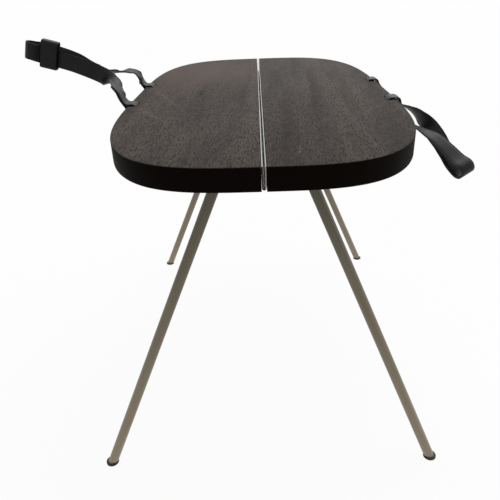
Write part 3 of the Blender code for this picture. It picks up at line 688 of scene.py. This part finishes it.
class Strap:
    """One carrying strap's route from its front anchor, round its end, to its rear anchor."""

    def __init__(self, side_name, thickness):
        self.side_name = side_name
        self.side = SIDES[side_name]
        self.thickness = thickness
        self.tip = STRAP_TIPS[side_name]
        # Tells the strap's two faces apart: away from the board and a little down
        self.outward = Vector((self.side, 0.0, -0.3))
        front, rear = (Vector(STRANDS[side_name][end_name][-1][:3]) for end_name in ENDS)
        self.along = (self.tip - (front + rear) / 2).normalized()
        self.across = Vector((0.0, 1.0, 0.0)) if side_name == "left" else rear - front
        self.across -= self.along * self.across.dot(self.along)
        self.across.normalize()
        self.width = self.along.cross(self.across)
        if self.width.z < 0:
            self.width.negate()

    def flat(self, end_name):
        """The width's direction at an anchor, along the table's edge."""
        return Vector((0.0, -ENDS[end_name], 0.0))

    def strand(self, end_name):
        """The rows of one strand, from its loop to the strap's end."""
        rows = []
        for x, y, z, turn in STRANDS[self.side_name][end_name]:
            angle = math.radians(turn)
            width = self.flat(end_name) * math.cos(angle) + self.width * math.sin(angle)
            rows.append((Vector((x, y, z)), width))
        return rows

    def loop(self, end_name):
        """Round the wooden bar: from the outer face, below it, up through the slot and over it."""
        place_y = slot_place(self.side_name, end_name)
        half = STRAP_SEAT / 2
        outer = HALF_WIDTH + SEAM + half
        inner = HALF_WIDTH - SLOT_INSET - SEAM - half
        top = TOP + SEAM + half
        bottom = UNDERSIDE + NOTCH_DEPTH - SEAM - half
        places = [(outer, top - LOOP_TAIL), (outer, bottom + LOOP_TURN),
                  (outer - LOOP_TURN, bottom), (inner + LOOP_TURN, bottom),
                  (inner, bottom + LOOP_TURN), (inner, top - LOOP_TURN),
                  (inner + LOOP_TURN, top), ((inner + outer) / 2, top + LOOP_CROWN)]
        places += [(outer + x, top + z) for x, z in LOOP_EXITS[self.side_name]]
        return [(Vector((self.side * x, place_y, z)), self.flat(end_name)) for x, z in places]

    def lap(self, end_name):
        """The strap's own end, sewn along the outer face of the strand's first stretch."""
        strand = band_frames(smooth_rows(self.loop(end_name)[-2:] + self.strand(end_name)))
        rows = []
        for point, across, normal, distance in strand:
            if distance < LAP_LENGTH and (not rows or distance - rows[-1][2] > LAP_ROW_SPACING):
                if normal.dot(self.outward) < 0:
                    normal = -normal
                rows.append((point + normal * self.thickness * LAP_LAYER, across, distance))
        return [(point, across) for point, across, _ in reversed(rows[1:])]

    def round_end(self, steps=12):
        """The rows round the strap's far end, from the front strand to the rear one."""
        centre = self.tip - self.along * (STRAP_BEND_RADIUS + STRAP_SEAT / 2)
        rows = []
        for i in range(steps + 1):
            angle = math.pi * i / steps
            arm = self.along * math.sin(angle) - self.across * math.cos(angle)
            rows.append((centre + arm * STRAP_BEND_RADIUS, self.width))
        return rows

    def end_rows(self, end_name):
        """The rows of one end, from the lap to where the round end starts."""
        rows = self.loop(end_name) + self.strand(end_name)
        return (self.lap(end_name) + rows) if self.side_name == "left" else rows

    def route(self):
        rows = self.end_rows("front") + self.round_end() + self.end_rows("rear")[::-1]
        return [(point + HINGE_SHIFT, width) for point, width in smooth_rows(rows)]

    def stitch_lines(self):
        """Outlines of the sewn boxes, as lists of points on the faces of the strap."""
        lines = []
        first, last = SEWN_STRETCH[self.side_name]
        reach = STRAP_WIDTH / 2 - STITCH_INSET
        for end_name in ENDS:
            rows = smooth_rows(self.loop(end_name)[-3:] + self.strand(end_name), spacing=0.001)
            sewn = [row for row in band_frames(rows) if first < row[3] < last]
            for sign, layer in SEAM_FACES[self.side_name]:
                height = sign * (self.thickness * layer + STITCH_LIFT)
                seam = []
                for point, across, normal, _ in sewn:
                    outward = normal.dot(self.outward) > 0
                    upward = normal if outward == (self.side_name == "right") else -normal
                    seam.append((point + upward * height, across))
                lines.append([p + a * reach for p, a in seam] + [seam[-1][0]]
                             + [p - a * reach for p, a in reversed(seam)] + [seam[0][0]])
        return [[point + HINGE_SHIFT for point in line] for line in lines]


# Geometry Nodes trees

def start_tree(name, numbers):
    """A tree with a geometry input, named numbers and a material, and its group input and output."""
    tree = bpy.data.node_groups.new(name, "GeometryNodeTree")
    tree.interface.new_socket("Geometry", in_out="INPUT", socket_type="NodeSocketGeometry")
    for number in numbers:
        tree.interface.new_socket(number, in_out="INPUT", socket_type="NodeSocketFloat")
    tree.interface.new_socket("Material", in_out="INPUT", socket_type="NodeSocketMaterial")
    tree.interface.new_socket("Geometry", in_out="OUTPUT", socket_type="NodeSocketGeometry")
    return tree, tree.nodes.new("NodeGroupInput"), tree.nodes.new("NodeGroupOutput")


def end_tree(tree, source, instances, output):
    realized = add(tree, "GeometryNodeRealizeInstances", {"Geometry": instances})
    smoothed = add(tree, "GeometryNodeSetShadeSmooth", {"Geometry": realized.outputs[0]})
    finished = add(tree, "GeometryNodeSetMaterial", {
        "Geometry": smoothed.outputs[0], "Material": source.outputs["Material"]})
    tree.links.new(finished.outputs[0], output.inputs[0])


def stitch_tree():
    """Stitches of even length along every line of a wire mesh."""
    tree, source, output = start_tree("stitches_along_lines", ["Pitch", "Length", "Radius"])
    curve = add(tree, "GeometryNodeMeshToCurve", {"Mesh": source.outputs["Geometry"]})
    points = add(tree, "GeometryNodeCurveToPoints", {
        "Curve": curve.outputs[0], "Length": source.outputs["Pitch"]}, mode="LENGTH")
    thread = add(tree, "GeometryNodeMeshUVSphere", {
        "Segments": 8, "Rings": 6, "Radius": source.outputs["Radius"]})
    ratio = compute(tree, "DIVIDE", source.outputs["Length"], source.outputs["Radius"])
    scale = add(tree, "ShaderNodeCombineXYZ", {
        0: 1.0, 1: 1.0, 2: compute(tree, "MULTIPLY", ratio, 0.5)})
    stitches = add(tree, "GeometryNodeInstanceOnPoints", {
        "Points": points.outputs["Points"], "Instance": thread.outputs["Mesh"],
        "Rotation": points.outputs["Rotation"], "Scale": scale.outputs[0]})
    end_tree(tree, source, stitches.outputs[0], output)
    return tree


def screw_tree(head):
    """A screw head on every point, turned to look its own way and spun by chance."""
    tree, source, output = start_tree("screw_heads", ["Radius", "Seed"])
    direction = add(tree, "GeometryNodeInputNamedAttribute", {"Name": "direction"},
                    data_type="FLOAT_VECTOR")
    aligned = add(tree, "FunctionNodeAlignRotationToVector", {
        "Vector": direction.outputs[0]}, axis="Z")
    angle = add(tree, "FunctionNodeRandomValue", {2: 0.0, 3: math.tau, 8: source.outputs["Seed"]},
                data_type="FLOAT")
    spin = add(tree, "ShaderNodeCombineXYZ", {2: angle.outputs[1]})
    turned = add(tree, "FunctionNodeRotateRotation", {
        "Rotation": aligned.outputs[0], "Rotate By": spin.outputs[0]}, rotation_space="LOCAL")
    shape = add(tree, "GeometryNodeObjectInfo", {"Object": head}, transform_space="ORIGINAL")
    heads = add(tree, "GeometryNodeInstanceOnPoints", {
        "Points": source.outputs["Geometry"], "Instance": shape.outputs["Geometry"],
        "Rotation": turned.outputs[0], "Scale": source.outputs["Radius"]})
    end_tree(tree, source, heads.outputs[0], output)
    return tree


def grown(name, tree, verts, edges, values, direction=None):
    """The mesh that a tree makes on a wire or point mesh, whose points may look one way."""
    mesh = bpy.data.meshes.new(name)
    mesh.from_pydata(verts, edges, [])
    if direction:
        attribute = mesh.attributes.new("direction", "FLOAT_VECTOR", "POINT")
        attribute.data.foreach_set("vector", direction * len(verts))
    guide = placed(name + "_guide", mesh)
    modifier = guide.modifiers.new("nodes", "NODES")
    modifier.node_group = tree
    for item in tree.interface.items_tree:
        if item.in_out == "INPUT" and item.name in values:
            modifier[item.identifier] = values[item.name]
    return evaluated(guide)


def cross_head():
    """A countersunk head of radius 1 with a cross recess, its rim at height 0."""
    profile = [(0.0, 0.10), (0.55, 0.09), (0.88, 0.05), (1.0, 0.0), (1.0, -0.10), (0.0, -0.30)]
    mesh = bpy.data.meshes.new("head")
    mesh.from_pydata([(r, 0.0, z) for r, z in profile],
                     [(i, i + 1) for i in range(len(profile) - 1)], [])
    head = placed("head", mesh)
    turn = head.modifiers.new("turn", "SCREW")
    turn.steps = turn.render_steps = 32
    turn.use_merge_vertices = True
    turn.merge_threshold = 1e-5
    solid = evaluated(head)
    with edited(solid) as work:
        turn_outwards(work)
    arms = [block((-0.58, -0.10, -0.14), (0.58, 0.10, 0.5)),
            block((-0.10, -0.58, -0.14), (0.10, 0.58, 0.5))]
    shape = placed("cross_head", carve(placed("head", solid), arms))
    shape.hide_render = True
    return shape


# Settings

class WoodSettings(bpy.types.PropertyGroup):
    colour: FloatVectorProperty(
        name="Stain", description="Colour of the stained wood's upper face", subtype="COLOR",
        size=3, min=0.0, max=1.0, default=(0.070, 0.060, 0.054))
    # The edge colour is partly deeper stain and partly painted shade on the boards' sideways faces
    edge_stain_and_shade: FloatVectorProperty(
        name="Edge stain", description="Colour of the stained edges, which soak up more stain",
        subtype="COLOR", size=3, min=0.0, max=1.0, default=(0.0034, 0.0020, 0.0014))
    rounding: FloatProperty(
        name="Edge rounding", description="Radius of the boards' edges", unit="LENGTH",
        default=0.0012, min=0.0002, max=0.003)


class SteelSettings(bpy.types.PropertyGroup):
    leg_colour: FloatVectorProperty(
        name="Leg steel", description="Colour of the brushed legs", subtype="COLOR",
        size=3, min=0.0, max=1.0, default=(0.318, 0.262, 0.183))
    # The leg shade is painted shade, darkening the legs' upper ends under the top
    leg_shade: FloatVectorProperty(
        name="Leg shade", description="How the duller upper ends of the legs are tinted",
        subtype="COLOR", size=3, min=0.0, max=1.0, default=(0.24, 0.26, 0.24))
    hinge_colour: FloatVectorProperty(
        name="Hinge steel", description="Colour of the bright hinge", subtype="COLOR",
        size=3, min=0.0, max=1.0, default=(0.325, 0.32, 0.31))
    # The hinge ends' colour is painted shade on the leaves' cut ends
    hinge_end_shade: FloatVectorProperty(
        name="Hinge ends", description="Colour of the hinge leaves' stained ends",
        subtype="COLOR", size=3, min=0.0, max=1.0, default=(0.030, 0.029, 0.027))
    softening: FloatProperty(
        name="Edge softening", description="Radius on the edges of brackets and nuts",
        unit="LENGTH", default=0.00025, min=0.0, max=0.001)


class LeatherSettings(bpy.types.PropertyGroup):
    colour: FloatVectorProperty(
        name="Leather", description="Colour of the straps", subtype="COLOR",
        size=3, min=0.0, max=1.0, default=(0.0045, 0.0040, 0.0040))
    roughness: FloatProperty(
        name="Roughness", description="Surface roughness of the leather", default=0.42,
        min=0.05, max=1.0)
    thickness: FloatProperty(
        name="Thickness", description="Thickness of the straps", unit="LENGTH",
        default=0.0024, min=0.001, max=0.0026)
    stitch_pitch: FloatProperty(
        name="Stitch pitch", description="Distance from stitch to stitch", unit="LENGTH",
        default=0.0030, min=0.001, max=0.01)
    stitch_length: FloatProperty(
        name="Stitch length", description="Length of a stitch", unit="LENGTH",
        default=0.0022, min=0.0005, max=0.01)
    thread_radius: FloatProperty(
        name="Thread radius", description="Radius of the thread", unit="LENGTH",
        default=0.00033, min=0.0001, max=0.001)


class StageSettings(bpy.types.PropertyGroup):
    key_strength: FloatProperty(
        name="Key light", description="Strength of the light from above and behind",
        default=2.3, min=0.0)
    side_strength: FloatProperty(
        name="Side light", description="Strength of the light from the right",
        default=0.5, min=0.0)
    ambient: FloatProperty(
        name="Ambient", description="Strength of the even light from all round", default=0.28,
        min=0.0)


def settings(group):
    return getattr(bpy.context.scene, "camping_table_" + group)


def stitch_values(leather, thread):
    """The inputs of the stitch tree."""
    return {"Pitch": leather.stitch_pitch, "Length": leather.stitch_length,
            "Radius": leather.thread_radius, "Material": thread}


# Operators

class CAMPTABLE_OT_boards(bpy.types.Operator):
    """Make the two stained boards of the top"""
    bl_idname = "camptable.boards"
    bl_label = "Boards"

    def execute(self, context):
        wood = settings("wood")
        material = stained_wood(tuple(wood.colour), tuple(wood.edge_stain_and_shade))
        for side_name in SIDES:
            mesh = make_board(side_name, wood.rounding)
            new_piece(side_name + "_board", mesh, side_name + "_half", "dark_wood", material,
                      side_name + "_top_panel", side_name + "_rim", side_name + "_hinge_rail")
        return {"FINISHED"}


class CAMPTABLE_OT_hinge(bpy.types.Operator):
    """Finish the long hinge and set its screws"""
    bl_idname = "camptable.hinge"
    bl_label = "Hinge"

    def execute(self, context):
        steel = settings("steel")
        zinc = zinc_plate()
        head = cross_head()
        tree = screw_tree(head)
        middle = (UNDERSIDE + TOP) / 2
        materials = {}
        for side_name, side in SIDES.items():
            body, leaf = side_name + "_half", side_name + "_hinge_leaf"
            # Painted shade for the leaves' ends, lighter on the right leaf
            painted_shade = tint(steel.hinge_end_shade, HINGE_END_SHADE_SHARE[side_name])
            material = hinge_steel(side_name + "_hinge_steel", tuple(steel.hinge_colour), painted_shade)
            materials[side_name] = material
            mesh = softened(merged_copy(leaf), steel.softening)
            new_piece(side_name + "_leaf", mesh, body, "hinge_steel", material, leaf)
            places = [(HINGE.x + side * LEAF_FACE,
                       HALF_LENGTH * (2 * (i + 0.5) / LEAF_SCREW_COUNT - 1), middle)
                      for i in range(LEAF_SCREW_COUNT)]
            mesh = grown(side_name + "_leaf_screws", tree, places, [], {
                "Radius": LEAF_SCREW_RADIUS, "Seed": LEAF_SCREW_SEED + side, "Material": zinc},
                (-side, 0.0, 0.0))
            new_piece(side_name + "_leaf_screws", mesh, body, "zinc_steel", mesh.materials[0])
        new_piece("hinge_rod", merged_copy("hinge_pin"), "left_half", "hinge_steel",
                  materials["left"], "hinge_pin")
        bpy.data.objects.remove(head)
        return {"FINISHED"}


class CAMPTABLE_OT_legs(bpy.types.Operator):
    """Finish the four legs with their knuckles and foot pads"""
    bl_idname = "camptable.legs"
    bl_label = "Legs"

    def execute(self, context):
        steel = settings("steel")
        rubber, zinc = black_rubber(), zinc_plate()
        for end_name in ENDS:
            for side_name in SIDES:
                leg = end_name + "_" + side_name
                low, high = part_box(leg + "_leg_tube")
                pad_low, pad_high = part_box(leg + "_foot_pad")
                foot_x = (pad_low.x + pad_high.x) / 2
                foot_y = (pad_low.y + pad_high.y) / 2
                far_x = high.x if foot_x < HINGE.x else low.x
                far_y = high.y if foot_y < 0 else low.y
                along = (far_x - foot_x, far_y - foot_y, high.z)
                satin = leg_steel(leg + "_steel", tuple(steel.leg_colour),
                                  tuple(steel.leg_shade), along)
                for part, material, slot in (("leg_tube", satin, "leg_steel"),
                                             ("leg_knuckle", zinc, "zinc_steel"),
                                             ("foot_pad", rubber, "black_rubber")):
                    node = leg + "_" + part
                    mesh = merged_copy(node)
                    if part != "leg_tube":
                        mesh = softened(mesh, steel.softening)
                    new_piece(part + "_" + leg, mesh, leg + "_leg", slot, material, node)
        return {"FINISHED"}


class CAMPTABLE_OT_mountings(bpy.types.Operator):
    """Finish the leg brackets with their bolts, nuts and screws"""
    bl_idname = "camptable.mountings"
    bl_label = "Leg brackets"

    def execute(self, context):
        steel = settings("steel")
        zinc = zinc_plate()
        head = cross_head()
        tree = screw_tree(head)
        for side_name in SIDES:
            places, nodes = [], []
            for end_name in ENDS:
                leg = end_name + "_" + side_name
                for part in ("leg_bracket", "pivot_bolt", "pivot_nut"):
                    node = leg + "_" + part
                    mesh = softened(merged_copy(node), steel.softening)
                    new_piece(part + "_" + leg, mesh, side_name + "_half", "zinc_steel", zinc, node)
                for place in ENDS:
                    node = leg + "_bracket_screw_" + place
                    low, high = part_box(node)
                    places.append(((low.x + high.x) / 2, (low.y + high.y) / 2, low.z))
                    nodes.append(node)
                    head_radius = (high.x - low.x) / 2
            mesh = grown(side_name + "_bracket_screws", tree, places, [], {
                "Radius": head_radius, "Seed": BRACKET_SCREW_SEED, "Material": zinc}, (0.0, 0.0, -1.0))
            new_piece(side_name + "_bracket_screws", mesh, side_name + "_half", "zinc_steel",
                      zinc, *nodes)
        bpy.data.objects.remove(head)
        return {"FINISHED"}


class CAMPTABLE_OT_straps(bpy.types.Operator):
    """Make the two carrying straps with their sewn ends"""
    bl_idname = "camptable.straps"
    bl_label = "Straps"

    def execute(self, context):
        leather = settings("leather")
        material = black_leather(tuple(leather.colour), leather.roughness)
        thread = waxed_thread()
        tree = stitch_tree()
        for side_name in SIDES:
            strap = Strap(side_name, leather.thickness)
            mesh = sweep(side_name + "_carrying_strap", strap.route(), STRAP_WIDTH,
                         leather.thickness)
            band = new_piece(side_name + "_carrying_strap", mesh, None, "black_leather", material,
                             side_name + "_strap", side_name + "_front_strap_anchor",
                             side_name + "_rear_strap_anchor")
            verts, edges = [], []
            for line in strap.stitch_lines():
                first = len(verts)
                verts += line
                edges += [(first + i, first + (i + 1) % len(line)) for i in range(len(line))]
            mesh = grown(side_name + "_strap_stitches", tree, verts, edges,
                         stitch_values(leather, thread))
            stitches = new_piece(side_name + "_strap_stitches", mesh, None, "black_leather", thread)
            for piece in (band, stitches):
                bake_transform(piece)
        return {"FINISHED"}


class CAMPTABLE_OT_keeper(bpy.types.Operator):
    """Make the leather keeper round the left strap"""
    bl_idname = "camptable.keeper"
    bl_label = "Keeper"

    def execute(self, context):
        leather = settings("leather")
        strap = Strap("left", leather.thickness)
        half_x = KEEPER_DEPTH / 2 + KEEPER_THICKNESS / 2
        half_z = KEEPER_HEIGHT / 2 + KEEPER_THICKNESS / 2
        centre = strap.tip - strap.along * KEEPER_DISTANCE + HINGE_SHIFT
        sideways = strap.width.cross(strap.along)
        rows = []
        for sx, sz, start in ((1, 1, 0), (-1, 1, 90), (-1, -1, 180), (1, -1, 270)):
            for i in range(KEEPER_CORNER_STEPS + 1):
                angle = math.radians(start + 90 * i / KEEPER_CORNER_STEPS)
                x = sx * (half_x - KEEPER_CORNER) + KEEPER_CORNER * math.cos(angle)
                z = sz * (half_z - KEEPER_CORNER) + KEEPER_CORNER * math.sin(angle)
                rows.append((centre + sideways * x + strap.width * z, strap.along))
        material = black_leather(tuple(leather.colour), leather.roughness)
        mesh = sweep("strap_keeper_band", rows, KEEPER_LENGTH, KEEPER_THICKNESS, closed=True)
        new_piece("strap_keeper_band", mesh, "left_keeper", "black_leather", material,
                  "left_strap_keeper")
        rear = 1 if sideways.y > 0 else -1
        face = centre + sideways * rear * (half_x + KEEPER_THICKNESS / 2 + STITCH_LIFT)
        verts = [face + strap.along * offset + strap.width * rise
                 for offset in (-KEEPER_SEAM_OFFSET, KEEPER_SEAM_OFFSET)
                 for rise in (-KEEPER_SEAM_REACH, KEEPER_SEAM_REACH)]
        mesh = grown("keeper_seam", stitch_tree(), verts, [(0, 1), (2, 3)],
                     stitch_values(leather, waxed_thread()))
        new_piece("keeper_seam", mesh, "left_keeper", "black_leather", mesh.materials[0])
        return {"FINISHED"}


def seen_white(tree, other, camera_share=1.0):
    """White in reflections and, by a share, for the camera. The other shader for all else."""
    ray = add(tree, "ShaderNodeLightPath").outputs
    reflected = compute(tree, "MAXIMUM", ray["Is Glossy Ray"], ray["Is Transmission Ray"])
    direct = compute(tree, "MULTIPLY", ray["Is Camera Ray"], camera_share)
    white = add(tree, "ShaderNodeEmission", {"Color": WHITE})
    return add(tree, "ShaderNodeMixShader", {
        0: compute(tree, "MAXIMUM", direct, reflected), 1: other,
        2: white.outputs[0]}).outputs[0]


class CAMPTABLE_OT_stage(bpy.types.Operator):
    """Set the floor, lights, backdrop and camera"""
    bl_idname = "camptable.stage"
    bl_label = "Stage"

    def execute(self, context):
        stage = settings("stage")
        self.make_floor()
        self.make_world(stage.ambient)
        for name, (source, spread) in LIGHTS.items():
            self.make_light(name + "_light", source, spread, getattr(stage, name + "_strength"))
        self.make_camera()
        context.scene.view_settings.view_transform = "Standard"
        return {"FINISHED"}

    def make_floor(self):
        mesh = bpy.data.meshes.new("floor")
        with edited(mesh) as work:
            bmesh.ops.create_grid(work, x_segments=1, y_segments=1, size=FLOOR_REACH)
        material, tree, shader = start_material("pale_floor")
        shader.inputs["Base Color"].default_value = FLOOR_COLOUR
        shader.inputs["Roughness"].default_value = 0.9
        shader.inputs["Specular IOR Level"].default_value = 0.0
        tree.links.new(seen_white(tree, shader.outputs[0], FLOOR_GLOW),
                       tree.nodes["Material Output"].inputs[0])
        mesh.materials.append(material)
        placed("floor", mesh)

    def make_world(self, ambient):
        world = bpy.data.worlds.new("studio")
        bpy.context.scene.world = world
        world.use_nodes = True
        tree = world.node_tree
        soft = tree.nodes["Background"]
        soft.inputs["Color"].default_value = WHITE
        soft.inputs["Strength"].default_value = ambient
        tree.links.new(seen_white(tree, soft.outputs[0]), tree.nodes["World Output"].inputs[0])

    def make_light(self, name, source, spread, strength):
        """An even light from far away, soft like a wide studio panel."""
        light = bpy.data.lights.new(name, "SUN")
        light.angle = math.radians(spread)
        light.energy = strength
        turn = Vector(source).to_track_quat("Z", "Y")
        placed(name, light).matrix_world = turn.to_matrix().to_4x4()

    def make_camera(self):
        yaw, pitch, roll = (math.radians(a) for a in (CAMERA_YAW, CAMERA_PITCH, CAMERA_ROLL))
        forward = Vector((math.sin(yaw) * math.cos(pitch), math.cos(yaw) * math.cos(pitch),
                          -math.sin(pitch)))
        level = Vector((math.cos(yaw), -math.sin(yaw), 0.0))
        up = level.cross(forward)
        right = level * math.cos(roll) + up * math.sin(roll)
        up = up * math.cos(roll) - level * math.sin(roll)
        data = bpy.data.cameras.new("camera")
        data.lens = CAMERA_LENS
        data.sensor_width = CAMERA_SENSOR
        data.clip_end = CAMERA_REACH
        camera = placed("camera", data)
        matrix = Matrix.Identity(4)
        for column, axis in enumerate((right, up, -forward)):
            matrix.col[column] = (*axis, 0.0)
        matrix.translation = CAMERA_PLACE
        camera.matrix_world = matrix
        bpy.context.scene.camera = camera


OPERATORS = (CAMPTABLE_OT_stage, CAMPTABLE_OT_boards, CAMPTABLE_OT_hinge, CAMPTABLE_OT_legs,
             CAMPTABLE_OT_mountings, CAMPTABLE_OT_straps, CAMPTABLE_OT_keeper)
GROUPS = {"wood": WoodSettings, "steel": SteelSettings, "leather": LeatherSettings,
          "stage": StageSettings}


class CAMPTABLE_PT_sidebar(bpy.types.Panel):
    """The camping table's settings and steps"""
    bl_idname = "CAMPTABLE_PT_sidebar"
    bl_label = "Camping table"
    bl_space_type = "VIEW_3D"
    bl_region_type = "UI"
    bl_category = "Camping table"

    def draw(self, context):
        for group, kind in GROUPS.items():
            box = self.layout.box()
            box.label(text=group.capitalize())
            for name in kind.__annotations__:
                box.prop(getattr(context.scene, "camping_table_" + group), name)
        for operator in OPERATORS:
            self.layout.operator(operator.bl_idname)


CLASSES = (*GROUPS.values(), *OPERATORS, CAMPTABLE_PT_sidebar)


def register():
    for cls in CLASSES:
        bpy.utils.register_class(cls)
    for group, kind in GROUPS.items():
        setattr(bpy.types.Scene, "camping_table_" + group, PointerProperty(type=kind))


def unregister():
    for group in GROUPS:
        delattr(bpy.types.Scene, "camping_table_" + group)
    for cls in reversed(CLASSES):
        bpy.utils.unregister_class(cls)


def main():
    """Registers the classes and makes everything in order."""
    register()
    for operator in OPERATORS:
        group, step = operator.bl_idname.split(".")
        getattr(getattr(bpy.ops, group), step)()


if __name__ == "__main__":
    main()
